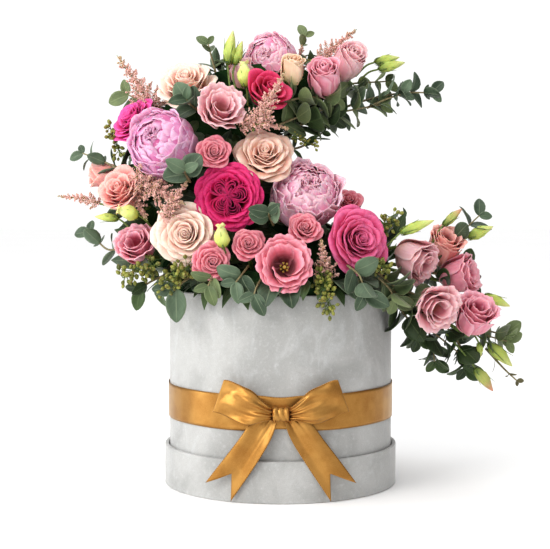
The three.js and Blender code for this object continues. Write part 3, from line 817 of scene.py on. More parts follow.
def quartered(sheets, random, radius):
    """An old garden rose: rings of wide outer petals round clusters of folded inner ones."""
    quarters, folds = 5, 8
    foot = -0.56 * radius
    for k in range(quarters):
        turn = (k + random.uniform(-0.22, 0.22)) * 2 * PI / quarters
        size = random.uniform(0.86, 1.1)
        for j in range(folds):
            t = j / (folds - 1)
            reach = radius * size * (0.2 + 0.46 * t)
            half = radius * (0.015 + 0.21 * t)
            high = radius * (0.46 - 0.16 * t + random.uniform(-0.05, 0.05))
            points = fold(reach, half, -0.3 * radius, high, random)
            own_turn = turn + random.uniform(-0.13, 0.13)
            sheets.grid(turned_about_axis(points, own_turn), 0.15 + 0.5 * t, random.random(), PETALS)
    for ring, (count, share) in enumerate([(7, 0.52), (7, 0.64), (8, 0.76), (8, 0.88), (9, 1.0)]):
        for k in range(count):
            leans = uneven(between([48, 26, 6, -2, 8, 20], [82, 68, 38, 30, 56, 88], share), random)
            turn = (k + 0.5 * ring + random.uniform(-0.15, 0.15)) * 2 * PI / count
            points = petal(turn, (0.1 * radius, foot), leans, radius * (1.0 + 0.26 * share),
                           radius * random.uniform(0.85, 1.05), waist=0.5, drop=0.22, corner=2.8,
                           flat=0.1 * radius * share, skew=0.03 * radius, curl=0.05 * radius,
                           ruffle=0.022 * radius, waves=random.uniform(1.0, 2.0), phase=random.uniform(0, 6))
            sheets.grid(points, 0.35 + 0.65 * share, random.random(), PETALS)
    return foot


def peony(sheets, random, radius, hollow=16, guards=8, frill=0.015, loose=0.0):
    """A globe of overlapping petals that curve in over a crumpled heart, in a few wide guard petals."""
    inner = 16
    foot_high = -0.72 * radius
    for k in range(inner):
        t = k / (inner - 1)
        points = petal(k * GOLDEN_TURN, (radius * (0.02 + 0.1 * t), -0.2 * radius), [30, 6, -6, 4, 24],
                       radius * random.uniform(0.66, 0.78), radius * (0.2 + 0.3 * t), waist=0.6, drop=0.25,
                       notch=0.1 * random.random(), skew=0.03 * radius, ruffle=0.035 * radius, waves=2.0,
                       phase=random.uniform(0, 6), size=(9, 9))
        sheets.grid(points, 0.05 * t, random.random() * 0.5, PETALS)
    rings = 9
    for ring in range(rings):
        t = ring / (rings - 1)
        tip = hollow + (98 - hollow) * t
        ball = radius * (0.6 + 0.36 * t ** 0.75)
        count = round(4 + 8.5 * math.sin(math.radians(min(tip, 90))))
        for k in range(count):
            end = tip + random.uniform(-7, 7)
            start = min(165, end + 76)
            size = ball * random.uniform(0.95, 1.07)
            lift = random.uniform(2, 20) + loose * random.uniform(0, 50)
            leans = [start - 90, end - 90 + (start - end) * 0.66, end - 90 + (start - end) * 0.33, end - 96,
                     end - 90 + lift]
            turn = (k + 0.5 * ring + random.uniform(-0.25, 0.25)) * 2 * PI / count
            steep = math.radians(start)
            foot = (size * math.sin(steep), -0.06 * radius + size * math.cos(steep))
            points = petal(turn, foot, leans, size * math.radians(start - end),
                           radius * random.uniform(0.6, 0.84) * (0.6 + 0.4 * t), waist=0.45, drop=0.3,
                           corner=2.6,
                           notch=0.07 * random.random() ** 2, flat=-0.08 * radius * (1 - t),
                           skew=0.035 * radius,
                           curl=-0.05 * radius, ruffle=frill * radius * random.uniform(0.4, 1.3),
                           waves=random.uniform(1.2, 2.8), phase=random.uniform(0, 6), size=(11, 9))
            sheets.grid(points, 0.15 + 0.85 * t, random.random(), PETALS)
    for k in range(guards):
        leans = [86, 66, 34, 8, -4 + 20 * loose, 10 + random.uniform(-10, 24) + 20 * loose]
        turn = (k + random.uniform(-0.2, 0.2)) * 2 * PI / guards
        points = petal(turn, (0.12 * radius, foot_high), leans, radius * random.uniform(1.3, 1.5),
                       radius * random.uniform(0.95, 1.2), waist=0.4, drop=0.26, notch=0.04,
                       flat=0.2 * radius,
                       skew=0.03 * radius, curl=0.05 * radius, ruffle=frill * 1.6 * radius,
                       phase=random.uniform(0, 6), size=(13, 11))
        sheets.grid(points, 1.0, random.random(), PETALS)
    return foot_high


def frilled(points, radius, random):
    """A petal's points with small uneven frills along its lip, for a flower of that radius."""
    side = np.linspace(-1, 1, points.shape[1])
    shiver = np.sin(side * random.uniform(9, 13) + random.uniform(0, 6))
    shiver += 0.5 * np.sin(side * random.uniform(19, 26) + random.uniform(0, 6))
    frills = np.linspace(0, 1, points.shape[0])[:, None] ** 7 * 0.03 * shiver
    points[..., 2] += frills * radius
    points[..., :2] *= 1 + frills[..., None]
    return points


def stamens(sheets, random, radius, foot):
    """The pistil and seven stamens in an open flower's throat."""
    heights = [(0, 0, foot + share * radius) for share in (0.05, 0.3, 0.5)]
    tube(sheets, heights, [0.05 * radius, 0.05 * radius, 0.07 * radius], slot=HEART)
    count = 7
    for k in range(count):
        turn = k * 2 * PI / count
        out = radius * random.uniform(0.13, 0.2)
        high = foot + radius * random.uniform(0.36, 0.52)
        end = np.array([out * math.cos(turn), out * math.sin(turn), high])
        low = end * (0.4, 0.4, 1) - (0, 0, 0.25 * radius)
        neck = end * (0.85, 0.85, 1) - (0, 0, 0.05 * radius)
        tube(sheets, [low, neck, end], [0.012 * radius, 0.014 * radius, 0.042 * radius], 6, HEART)


def lisianthus(sheets, random, radius, opened=0.3, frill=0.03, heart=True,
               rows=((3, 0.0), (4, 0.45), (5, 1.0))):
    """Broad petals with frilly lips: a deep bell, which turns out into a wide cup as it opens."""
    foot = -(0.95 - 0.35 * opened) * radius
    for count, t in rows:
        closed = between([60, 30, 2, -10, -6, 26], [78, 50, 16, 2, 10, 52], t)
        flared = between([56, 26, 8, 8, 22, 54], [74, 52, 34, 44, 64, 84], t)
        for k in range(count):
            leans = uneven(between(closed, flared, opened), random)
            turn = (k + 0.5 * t + random.uniform(-0.12, 0.12)) * 2 * PI / count
            length = radius * (1.85 - 0.5 * opened + 0.06 * t) * random.uniform(0.94, 1.04)
            points = petal(turn, (0.06 * radius, foot), leans, length, radius * (1.45 + 0.25 * t), waist=0.35,
                           drop=0.16, flat=0.08 * radius * t, skew=0.07 * radius, curl=0.04 * radius * t,
                           ruffle=frill * radius * (0.5 + t), waves=random.uniform(1.2, 2.0),
                           phase=random.uniform(0, 6), size=(17, 25))
            sheets.grid(frilled(points, radius, random), 0.2 + 0.8 * t, random.random(), PETALS)
    if heart:
        stamens(sheets, random, radius, foot)
    return foot


def bud(sheets, random, radius, petals=12, furled=0.45, lips=0.5):
    """A bud seen from its side, its petals wrapped round each other with their lips just turning out."""
    foot_high = -0.86 * radius
    for k in range(petals):
        t = k / (petals - 1)
        leans = uneven(between([34, 10, -4, -12, -16, -6], [74, 40, 12, -4, -4, 60 * lips], t), random, 4)
        turn = k * GOLDEN_TURN + random.uniform(-0.2, 0.2)
        length = radius * (1.72 + 0.12 * t) * random.uniform(0.96, 1.02)
        points = petal(turn, (radius * 0.12, foot_high), leans, length, radius * (0.7 + 1.1 * t), waist=0.55,
                       drop=0.24 + 0.08 * t, corner=2.2, flat=radius * 0.06 * t, skew=radius * 0.06,
                       curl=radius * 0.1 * furled * t, point=0.05, ruffle=radius * 0.03, waves=1.4,
                       phase=random.uniform(0, 6), size=(13, 11))
        sheets.grid(points, t, random.random(), PETALS)
    return foot_high


# How high the widest ring of each kind's CAD solid stands over its head's middle, in radii.
WIDEST = {"rose": 0.05, "quartered": 0.05, "peony": 0.02, "bud": 0.1, "lisianthus": 0.15}
MAKERS = {"rose": rose, "quartered": quartered, "peony": peony, "bud": bud, "lisianthus": lisianthus}


def stem_of(name, kind):
    """(root, head's middle, way, radius) of a flower, from its CAD solid."""
    points = np.unique(np.round([v.co for v in frame["nodes"][name].data.vertices], 6), axis=0)
    middle = points.mean(axis=0)
    far = np.linalg.norm(points - middle, axis=1)
    root = points[far > far.max() - 0.5 * MM].mean(axis=0)
    way = unit(middle - root)
    heights = (points - root) @ way
    spread = np.linalg.norm(points - root - np.outer(heights, way), axis=1)
    radius = spread.max()
    widest = heights[spread > radius - 0.2 * MM].mean()
    head = root + way * (widest - WIDEST[kind] * radius)
    return root, head, way, radius


HEADS = []  # (middle, way it looks, radius) of each flower


def plant(name, kind, palette, face=None, scale=1.0, aside=(0, 0, 0), **shape):
    """One flower, in place of its CAD solid, on a stem down to the solid's root."""
    random = dice(name)
    root, head, way, radius = stem_of(name, kind)
    look = way if face is None else facing(*face)
    head = head + np.array(aside) * MM
    radius *= scale
    sheets = Sheets()
    depth = MAKERS[kind](sheets, random, radius, **shape)
    calyx(sheets, random, radius, depth - 1.5 * MM)
    sheets.move(axes(look), head)
    neck = head + look * depth
    low = neck - look * 0.3 * radius
    line = smooth_line([root, root + 0.5 * (low - root), low, neck], 12)
    tube(sheets, line, np.linspace(STEM_RADIUS, STEM_RADIUS * 1.15, 12))
    HEADS.append((head, look, radius))
    sheets.make(name, "insert", [PETAL[palette], STALK, STIGMA], [name], PETAL_THICK)


def hides_flower(place):
    """Whether a leaf there would cover a flower's face."""
    for head, look, radius in HEADS:
        ahead = np.dot(place - head, look)
        off = np.linalg.norm(place - head - ahead * look)
        if off < 0.92 * radius and -0.4 * radius < ahead < 2.2 * radius:
            return True
        toward_viewer = head[1] - place[1]
        if 0 < toward_viewer and math.hypot(place[0] - head[0], place[2] - head[2]) < 0.75 * radius:
            return True
    return False


plant("peony_left", "peony", "lilac", face=(-26, 26), scale=1.16, loose=0.08, aside=(0, 0, -2))
plant("peony_centre", "peony", "blush", face=(14, 34), scale=1.18, frill=0.04, hollow=24, loose=0.45,
      guards=9)
plant("peony_top", "peony", "blush", face=(-24, 14), scale=1.42, guards=7, loose=0.15, aside=(2, -4, -2))
plant("rose_fuchsia", "quartered", "fuchsia", face=(-4, 8), scale=1.03, aside=(2, 0, -4))
plant("rose_cream_low", "rose", "cream", face=(-6, 8), scale=1.26, petals=40, aside=(5, 0, -3))
plant("rose_cream_mid", "rose", "peach", face=(6, 34), scale=1.2, wavy=0.04, petals=32, aside=(0, 0, -6))
plant("rose_cream_top", "rose", "cream", face=(-16, 50), scale=1.42, wavy=0.02, petals=24,
      aside=(0, 0, -14), opened=0.9)
plant("rose_pink_right", "rose", "rose", face=(24, 12), scale=1.42, petals=42, aside=(-4, 0, -6),
      opened=0.84, wavy=0.03)
plant("rose_hot_top", "rose", "hot", face=(24, 36), scale=1.35, petals=16, opened=0.8, aside=(-2, 0, -4))
plant("ranunculus_left", "rose", "magenta", face=(-52, 36), scale=1.25, petals=34, aside=(1, 0, -4))
plant("rose_peach_left", "rose", "salmon", face=(-30, 34), scale=1.5, petals=20, opened=0.72, tall=1.15,
      aside=(6, 0, -9))
plant("rose_far_left", "bud", "salmon", scale=1.5)
plant("rose_dusty", "rose", "coral", face=(0, 45), scale=1.25, petals=18)
plant("spray_rose_mid", "rose", "coral", face=(4, 20), scale=1.22, petals=34, aside=(0, 0, -4),
      wavy=0.035, opened=0.9)
plant("spray_rose_low", "rose", "coral", face=(6, 10), scale=1.28, petals=34, aside=(2, -3, -2), wavy=0.035)
plant("spray_rose_front", "rose", "coral", face=(5, 20), scale=1.25, petals=30, wavy=0.035)
plant("spray_rose_right", "rose", "coral", face=(10, 30), scale=1.25, petals=28, wavy=0.035)
plant("lisianthus_open", "lisianthus", "open", face=(4, 14), scale=1.02, opened=0.5, frill=0.035,
      aside=(0, -2, -1), rows=((3, 0.35), (4, 0.8), (5, 1.0)))
plant("lisianthus_left", "lisianthus", "pink", face=(-20, 34), scale=1.15, opened=0.3, heart=False,
      aside=(7, 0, -6))
plant("lisianthus_top", "lisianthus", "pale", face=(18, 30), opened=0.55, frill=0.035, heart=False,
      aside=(0, -2, -9))
plant("rose_blush_top", "bud", "pale", scale=1.5, aside=(13, -16, -12))
plant("rosebud_cream", "bud", "ivory", scale=1.4, aside=(-4, -6, -3), face=(10, 60), petals=15, lips=0.8)
plant("rosebud_pink", "bud", "pink", scale=1.5, aside=(-3, -4, -6), face=(-10, 42), petals=18, furled=0.6,
      lips=0.9)
plant("rosebud_top_right", "bud", "pale", scale=1.45, face=(30, 40), petals=18, furled=0.6, lips=0.9,
      aside=(-5, 0, -1))
plant("horn_lisianthus_1", "lisianthus", "pale", face=(50, -22), scale=1.24, opened=0.1, heart=False)
plant("horn_lisianthus_2", "lisianthus", "salmon", face=(30, 50), scale=1.6, opened=0.0, heart=False)
plant("horn_lisianthus_3", "lisianthus", "pink", face=(62, 12), scale=1.45, opened=0.15, heart=False)
plant("horn_lisianthus_4", "lisianthus", "pale", face=(26, -14), scale=1.2, opened=0.42)
plant("horn_lisianthus_5", "lisianthus", "pink", face=(20, 46), scale=1.4, opened=0.05, heart=False)
plant("back_peony", "peony", "lilac", scale=1.15)
plant("back_rose_left", "rose", "peach", scale=1.15)
plant("back_rose_top", "rose", "rose", scale=1.15)
plant("back_rose_right", "rose", "cream", scale=1.15)


# ---- Leaves, plumes, buds and seeds ----

def leaf(length, width, widest=0.85, blunt=0.6, cup=0.12, droop=0.3, fold=0.0, wave=0.0, size=(9, 7)):
    """A leaf in its own frame: it starts at the origin, runs along +Y, and its face looks up +Z."""
    along, across = grid(*size)
    along = (1 - np.cos(PI * along)) / 2
    outline = np.sin(PI * np.clip(along, 0.002, 0.998) ** widest) ** blunt
    x = across * outline * width / 2
    y = along * length
    z = cup * width * (across * outline) ** 2 + fold * width * np.abs(across) * outline
    z += wave * width * np.sin(5 * along + 1.5 * across) * np.abs(across)
    angle = droop * along
    return np.stack([x, y * np.cos(angle) + z * np.sin(angle), z * np.cos(angle) - y * np.sin(angle)],
                    axis=-1)


def set_leaf(sheets, points, foot, way, up, own, slot=0):
    """A leaf's points, moved to its foot, so that it runs along way and its face looks up."""
    way = unit(way)
    side = np.cross(way, np.asarray(up, float))
    side = unit(side) if np.linalg.norm(side) > 1e-6 else np.array([1.0, 0.0, 0.0])
    sheets.grid(points @ np.array([side, way, np.cross(side, way)]) + foot, 1.0, own, slot)


FRONT = (0, -1, 0)  # the way to the viewer
TWIG_THICK = 1.3  # the radius at its foot, in millimetres
PAIR_TURN = 0.45 * PI  # from one pair to the next, a little under a quarter turn
LEAF_SPREAD = 50  # degrees between a leaf and its twig


def sprig(name, line, big, small, pairs, material=ROUND_LEAF, long=1.0, replaces=(), toward=(0, -1, 0.25)):
    """A eucalyptus twig: leaves in pairs, each pair turned from the last, smaller towards the tip."""
    random = dice(name)
    sheets = Sheets()
    steps = 24
    line = smooth_line(np.array(line) * MM, steps)
    tube(sheets, line, np.linspace(TWIG_THICK, 0.5 * TWIG_THICK, steps) * MM, 6, STEM)
    for k in range(pairs):
        t = (k + 0.6) / (pairs + 0.3)
        at = t * (steps - 1)
        low = min(int(at), steps - 2)
        foot = line[low] + (at - low) * (line[low + 1] - line[low])
        way = unit(line[low + 1] - line[low])
        size = (big + (small - big) * t) * MM * random.uniform(0.88, 1.12)
        first = axes(way, toward)[0]
        second = np.cross(way, first)
        turn = k * PAIR_TURN + random.uniform(-0.3, 0.3)
        side = math.cos(turn) * first + math.sin(turn) * second
        for sign in (-1, 1):
            spread = math.radians(LEAF_SPREAD + random.uniform(-12, 12))
            ahead = math.cos(spread) * way + math.sin(spread) * sign * side
            up = way * math.sin(spread) - sign * side * math.cos(spread)
            up = up + unit(toward) * random.uniform(0.2, 1.0)
            points = leaf(size, size * random.uniform(0.72, 0.92) * long, blunt=0.55,
                          cup=random.uniform(0.05, 0.2), droop=random.uniform(-0.1, 0.5))
            points[..., 1] += 1.2 * MM
            set_leaf(sheets, points, foot, ahead, up, random.random())
    tip_way = unit(line[-1] - line[-2])
    for sign in (-1, 1):
        length = small * (0.86 + 0.14 * sign) * MM
        ahead = tip_way + sign * 0.95 * axes(tip_way, toward)[0]
        set_leaf(sheets, leaf(length, length * 0.62, cup=0.2, droop=0.2), line[-1], ahead, toward,
                 random.random())
    sheets.make(name, "insert", [material, TWIG], replaces, LEAF_THICK)


FLORET = np.array([(0, 0, -0.9), (1, 0, 0), (-0.4, 0.85, 0.1), (-0.5, -0.85, -0.1), (0, 0, 1.2)])
FLORET_FACES = [(0, 2, 1), (0, 3, 2), (0, 1, 3), (4, 1, 2), (4, 2, 3), (4, 3, 1)]


def plume(name, line, radius, florets, branches, replaces=()):
    """An astilbe plume: side branches, shorter towards the tip, each thick with tiny florets."""
    random = dice(name)
    sheets = Sheets()
    steps = 30
    line = smooth_line(np.array(line) * MM, steps)
    tube(sheets, line, np.linspace(1.1, 0.4, steps) * MM, 6, STEM)
    spots = []
    for k in range(branches):
        t = (k / branches) ** 1.1
        low = int(4 + t * 24)
        foot = line[low]
        way = unit(line[min(low + 1, steps - 1)] - foot)
        reach = radius * MM * (1 - 0.86 * t) * random.uniform(0.75, 1.15)
        side = axes(way, (0.2, 0.1, 1.0))
        turn = k * GOLDEN_TURN
        ahead = unit(way * 0.75 + math.cos(turn) * side[0] + math.sin(turn) * side[1])
        end = foot + ahead * reach * 1.25
        tube(sheets, [foot, (foot + end) / 2 + way * 0.1 * reach, end], np.array([0.5, 0.4, 0.25]) * MM,
             5, STEM)
        for _ in range(max(5, round(1.4 * florets / branches * (1.4 - t)))):
            s = random.uniform(0.08, 1.02)
            fat = 0.34 * reach * (1.05 - s) + 0.5 * MM
            spots.append((foot + (end - foot) * s + random.normal(0, 0.5, 3) * fat, t))
    for _ in range(florets // 5):
        t = random.random() ** 0.8
        at = min(int(6 + t * 23), steps - 1)
        spots.append((line[at] + random.normal(0, 1, 3) * 0.6 * MM * (2.0 - t), t))
    for spot, t in spots:
        size = random.uniform(0.6, 1.1) * MM
        turn = axes(random.normal(0, 1, 3), random.normal(0, 1, 3))
        sheets.solid(FLORET * size @ turn + spot, FLORET_FACES, FLORET[:, 2], t, random.random())
    sheets.make(name, "insert", [FLORETS, STALK], replaces)


def green_bud(name, line, radius, material=GREEN_BUD, sepals=4, frills=0):
    """A long closed bud with a twist and thin sepals. The last two points of its line are its foot and
    its pointed tip, and its stem runs through those before."""
    random = dice(name)
    *stem, foot, tip = np.array(line) * MM
    radius = radius * MM
    length = np.linalg.norm(tip - foot)
    sheets = Sheets()
    along, around = np.meshgrid(np.linspace(0, 1, 17), np.arange(20) * 2 * PI / 20, indexing="ij")
    fat = np.interp(along, [0, 0.08, 0.3, 0.55, 0.8, 0.95, 1],
                    [0.3, 0.62, 0.98, 0.92, 0.5, 0.18, 0.02]) * radius
    fat = fat * (1 + 0.13 * np.sin(3 * around + 5.5 * along) * np.sin(PI * along))
    points = np.stack([fat * np.cos(around), fat * np.sin(around), along * length], axis=-1)
    sheets.grid(points, 0.5, random.random(), OUTER, closed=True)
    for k in range(frills):
        points = petal(k * 2 * PI / frills, (0.5 * radius, 0.2 * length), [30, 4, -14, -24, 8, 60],
                       length * 0.85, 1.5 * radius, waist=0.6, drop=0.3, corner=2.5, skew=0.12 * radius,
                       ruffle=0.12 * radius, phase=random.uniform(0, 6))
        sheets.grid(points, 0.5, random.random(), OUTER)
    for k in range(sepals):
        points = petal(k * 2 * PI / sepals + 0.4, (0.5 * radius, -0.5 * MM), [40, 6, 2, 8, 18],
                       length * random.uniform(0.55, 0.85), 2.4 * MM, waist=0.7, drop=0.8, corner=1.2,
                       flat=2 * MM, size=(9, 5))
        sheets.grid(points, 1.0, random.random(), STEM)
    sheets.move(axes(tip - foot), foot)
    steps = 14
    tube(sheets, smooth_line([*stem, foot], steps), np.linspace(1.1, 0.9, steps) * MM, 7, STEM)
    sheets.make(name, "insert", [material, STALK], thick=BUD_SKIN_THICK)


def seeds(name, line, count, spread, size):
    """Seeded eucalyptus: small pointed seeds on short stalks along a twig."""
    random = dice(name)
    sheets = Sheets()
    steps = 16
    line = smooth_line(np.array(line) * MM, steps)
    tube(sheets, line, np.linspace(1.0, 0.5, steps) * MM, 6, STEM)
    along, around = np.meshgrid(np.linspace(0, 1, 6), np.arange(7) * 2 * PI / 7, indexing="ij")
    outline = np.interp(along, [0, 0.2, 0.5, 0.8, 1], [0.15, 0.7, 1.0, 0.62, 0.05])
    for k in range(count):
        at = line[min(steps - 1, int(2 + 14 * k / count))]
        way = unit(random.normal(0, 1, 3) + (0, -0.4, -0.2))
        end = at + way * spread * MM * random.uniform(0.35, 1.0)
        tube(sheets, [at, (at + end) / 2 + (0, 0, 0.6 * MM), end], np.array([0.35, 0.3, 0.3]) * MM, 5, STEM)
        fat = random.uniform(0.8, 1.15) * size * MM
        points = np.stack([outline * np.cos(around), outline * np.sin(around), 2.6 * along], axis=-1) * fat
        turn = axes(way + random.normal(0, 0.25, 3))
        sheets.grid(points @ turn + end, 0.5, random.random(), OUTER, closed=True)
    sheets.make(name, "insert", [BERRIES, STALK])


def surface_spots(name, count, random):
    """Random places on a CAD node's surface, with the way out from it."""
    mesh = frame["nodes"][name].data
    mesh.calc_loop_triangles()
    points = np.array([v.co for v in mesh.vertices])
    corners = np.array([t.vertices for t in mesh.loop_triangles])
    a, b, c = points[corners[:, 0]], points[corners[:, 1]], points[corners[:, 2]]
    normal = np.cross(b - a, c - a)
    area = np.linalg.norm(normal, axis=1)
    picked = random.choice(len(area), count, p=area / area.sum())
    s, t = np.sqrt(random.random(count)), random.random(count)
    places = (1 - s)[:, None] * a[picked] + (s * (1 - t))[:, None] * b[picked] + (s * t)[:, None] * c[picked]
    return places, normal[picked] / area[picked][:, None]


def backing_leaves():
    """The leaves that hide the foam, in place of the CAD cover."""
    random = dice("backing")
    sheets = Sheets()
    places, outs = surface_spots("leaf_cover", 900, random)
    for place, out in zip(places, outs):
        if place[2] < 0.236 and abs(out[2]) > 0.8:
            continue
        tangent = np.cross(out, unit(random.normal(0, 1, 3)))
        length = random.uniform(17, 27) * MM if place[2] > 0.38 else random.uniform(22, 36) * MM
        points = leaf(length, length * random.uniform(0.42, 0.6), widest=0.8, blunt=0.9,
                      droop=random.uniform(0.1, 0.6), fold=0.12, wave=0.06, size=(8, 5))
        way = unit(unit(tangent) + out * random.uniform(0.05, 0.5))
        if hides_flower(place + way * 0.6 * length) or hides_flower(place + way * length):
            continue
        set_leaf(sheets, points, place - out * 3 * MM, way, out, random.random(),
                 0 if random.random() < 0.72 else 1)
    sheets.make("backing_leaves", "insert", [DARK_LEAF, ROUND_LEAF], ["leaf_cover"], MASS_LEAF_THICK)


def collar_leaves():
    """The leaves that lie over the rim of the box and hang a little in front of it."""
    random = dice("collar")
    sheets = Sheets()
    count = 150
    for k in range(count):
        turn = k * 2 * PI / count + random.uniform(-0.05, 0.05)
        out = np.array([math.sin(turn), -math.cos(turn), 0.0])
        high = random.uniform(226, 240)
        foot = out * random.uniform(92, 120) * MM + (0, 0, high * MM)
        length = random.uniform(24, 38) * MM
        way = unit(out + (0, 0, random.uniform(-0.35, 0.3)) + np.cross(out, (0, 0, 1))
                   * random.uniform(-0.8, 0.8))
        if hides_flower(foot + way * length):
            continue
        round_one = random.random() < 0.4
        wide, blunt = (0.75, 0.6) if round_one else (0.42, 1.0)
        points = leaf(length, length * wide, blunt=blunt, droop=random.uniform(0.2, 0.8), fold=0.05,
                      wave=0.05)
        set_leaf(sheets, points, foot, way, (0, 0, 1) + 0.6 * out, random.random(), 1 if round_one else 0)
    sheets.make("collar_leaves", "insert", [DARK_LEAF, ROUND_LEAF], ["leaf_collar"], MASS_LEAF_THICK)


backing_leaves()
collar_leaves()

# Twigs: a name, the line of the stem, the leaf at its foot and at its tip, and the number of pairs.
sprig("eucalyptus_top_right", [(50, -12, 412), (92, -6, 428), (134, 0, 437), (170, 5, 438)], 30, 21, 7,
      long=0.9, replaces=["eucalyptus_top_right"])
sprig("upper_horn_under", [(20, -26, 404), (62, -20, 414), (112, -8, 424)], 28, 22, 5, OLIVE_LEAF, 0.75)
sprig("upper_horn_round", [(-6, -48, 398), (18, -44, 408), (50, -34, 418)], 29, 24, 3, OLIVE_LEAF, 1.05,
      toward=FRONT)
sprig("upper_horn_tip", [(96, -12, 420), (118, -8, 430), (136, -8, 436)], 25, 20, 2, long=0.75)
sprig("upper_horn_back", [(20, 30, 430), (70, 34, 448), (120, 26, 452)], 27, 18, 5, OLIVE_LEAF,
      toward=(0, 1, 0.4))
sprig("hollow_edge", [(6, -36, 372), (26, -32, 378), (46, -20, 392)], 24, 15, 3, DARK_LEAF, 0.5)
sprig("eucalyptus_low_right", [(150, -24, 206), (186, -14, 188), (224, -2, 168), (256, 0, 158)],
      27, 22, 6, OLIVE_LEAF, 1.0, replaces=["eucalyptus_low_right"])
sprig("lower_horn_under", [(118, -60, 214), (140, -52, 194), (176, -30, 166), (208, -14, 140)], 30, 20, 6,
      DARK_LEAF, 0.85)
sprig("lower_horn_front", [(104, -78, 240), (122, -76, 226), (146, -66, 216)], 29, 24, 3, OLIVE_LEAF, 0.9)
sprig("lower_horn_high", [(168, -20, 262), (196, -8, 276), (224, 2, 300)], 24, 22, 3, ROUND_LEAF, 0.9)
sprig("lower_horn_behind", [(150, 20, 236), (184, 20, 234), (214, 14, 226)], 28, 24, 4, DARK_LEAF, 0.9,
      toward=(0, 1, 0.4))
sprig("lower_horn_twig", [(232, -2, 150), (252, 0, 128), (268, 0, 113)], 15, 9, 2, TWIG_LEAF, 0.35)
sprig("eucalyptus_top", [(20, 6, 468), (22, 12, 484), (28, 18, 502)], 20, 17, 2, OLIVE_LEAF, 0.62,
      replaces=["eucalyptus_top"])
sprig("left_high", [(-176, -22, 350), (-196, -10, 360), (-222, 2, 370)], 25, 18, 3, ROUND_LEAF, 0.75)
sprig("left_low", [(-172, -52, 266), (-192, -34, 264), (-212, -18, 282)], 25, 22, 2, ROUND_LEAF, 0.8,
      toward=(-0.3, -1, 0.4))
sprig("left_top", [(-146, 6, 420), (-160, 12, 430), (-172, 15, 436)], 31, 27, 1, OLIVE_LEAF, 0.95,
      toward=(-0.2, -1, 0))
sprig("top_left", [(-70, -22, 452), (-76, -20, 474), (-80, -18, 490)], 19, 16, 2, OLIVE_LEAF, 0.5)
sprig("by_cream", [(-88, -58, 414), (-96, -70, 420), (-101, -78, 426)], 25, 21, 2, toward=(0, -1, 0.2))
sprig("by_peony", [(-96, -98, 338), (-100, -112, 346), (-100, -119, 350)], 26, 25, 1, long=1.1, toward=FRONT)
sprig("by_fuchsia", [(-8, -98, 292), (-12, -118, 302), (-13, -126, 306)], 24, 24, 1, long=1.2, toward=FRONT)
sprig("under_sprays", [(-34, -112, 250), (-42, -126, 240), (-47, -130, 234)], 25, 23, 1, long=1.05,
      toward=(0, -1, 0.2))
sprig("rim_left", [(-92, -104, 240), (-104, -112, 232), (-110, -114, 226)], 34, 36, 0, long=0.95,
      toward=FRONT)
sprig("rim_middle", [(-20, -122, 238), (-25, -134, 230), (-28, -138, 222)], 24, 25, 0, long=1.0, toward=FRONT)
sprig("rim_right", [(70, -108, 250), (82, -120, 240), (88, -124, 222)], 31, 29, 2, long=1.0, toward=FRONT)
sprig("rim_right_low", [(104, -92, 236), (116, -92, 224), (122, -88, 212)], 30, 26, 2, OLIVE_LEAF, 0.9,
      toward=FRONT)
sprig("rim_between", [(-66, -116, 246), (-72, -126, 238), (-76, -130, 230)], 27, 22, 1, OLIVE_LEAF, 0.7,
      toward=FRONT)
sprig("horn_fill_left", [(112, -72, 226), (138, -62, 210), (160, -50, 194)], 29, 26, 4, OLIVE_LEAF, 1.05,
      toward=FRONT)
sprig("horn_fill_low", [(126, -58, 206), (142, -48, 184), (152, -40, 164)], 29, 24, 4, DARK_LEAF, 0.95,
      toward=FRONT)
sprig("horn_fill_middle", [(172, -34, 190), (192, -22, 168), (206, -14, 148)], 27, 25, 4, DARK_LEAF, 1.05,
      toward=FRONT)
sprig("horn_fill_right", [(190, -18, 172), (204, -12, 148), (208, -10, 128)], 26, 23, 3, DARK_LEAF, 1.05,
      toward=FRONT)
sprig("horn_fill_under", [(156, -36, 190), (168, -28, 162), (172, -24, 138)], 28, 22, 4, DARK_LEAF, 1.0,
      toward=FRONT)
sprig("horn_fill_end", [(212, -14, 180), (236, -4, 170), (252, 0, 166)], 27, 27, 2, OLIVE_LEAF, 1.1,
      toward=FRONT)
sprig("horn_fill_high", [(150, -36, 240), (180, -24, 236), (206, -12, 244)], 27, 24, 4, DARK_LEAF, 1.0,
      toward=FRONT)
sprig("upper_fill_near", [(0, -44, 424), (26, -40, 430), (58, -30, 430)], 30, 27, 4, OLIVE_LEAF, 1.05,
      toward=FRONT)
sprig("upper_fill_dark", [(10, -36, 396), (34, -32, 404), (58, -26, 408)], 30, 26, 4, DARK_LEAF, 1.05,
      toward=FRONT)
sprig("rim_far_left", [(-120, -80, 240), (-138, -84, 232), (-150, -86, 224)], 30, 24, 2, DARK_LEAF, 0.7)

plume("astilbe_far_left", [(-196, -12, 312), (-222, 0, 319), (-251, 0, 322)], 11, 620, 24,
      ["astilbe_far_left"])
plume("astilbe_top_left", [(-132, -20, 404), (-152, -8, 436), (-184, 8, 480)], 25, 2100, 46,
      ["astilbe_top_left"])
plume("astilbe_left", [(-158, -60, 356), (-136, -88, 332), (-100, -108, 314)], 24, 2000, 44, ["astilbe_left"])
plume("astilbe_left_low", [(-122, -92, 290), (-116, -106, 312), (-98, -108, 340)], 16, 1100, 30)
plume("astilbe_left_back", [(-150, -64, 344), (-156, -70, 322), (-142, -84, 296)], 16, 900, 26)
plume("astilbe_centre_top", [(-30, -84, 392), (-16, -94, 416), (4, -96, 454)], 17, 1500, 38,
      ["astilbe_centre_top"])
plume("astilbe_centre_low", [(-52, -76, 402), (-28, -84, 400), (10, -74, 395)], 13, 1100, 32)
plume("astilbe_top_right", [(36, 0, 464), (58, 6, 486), (86, 18, 510)], 16, 1200, 32, ["astilbe_top_right"])
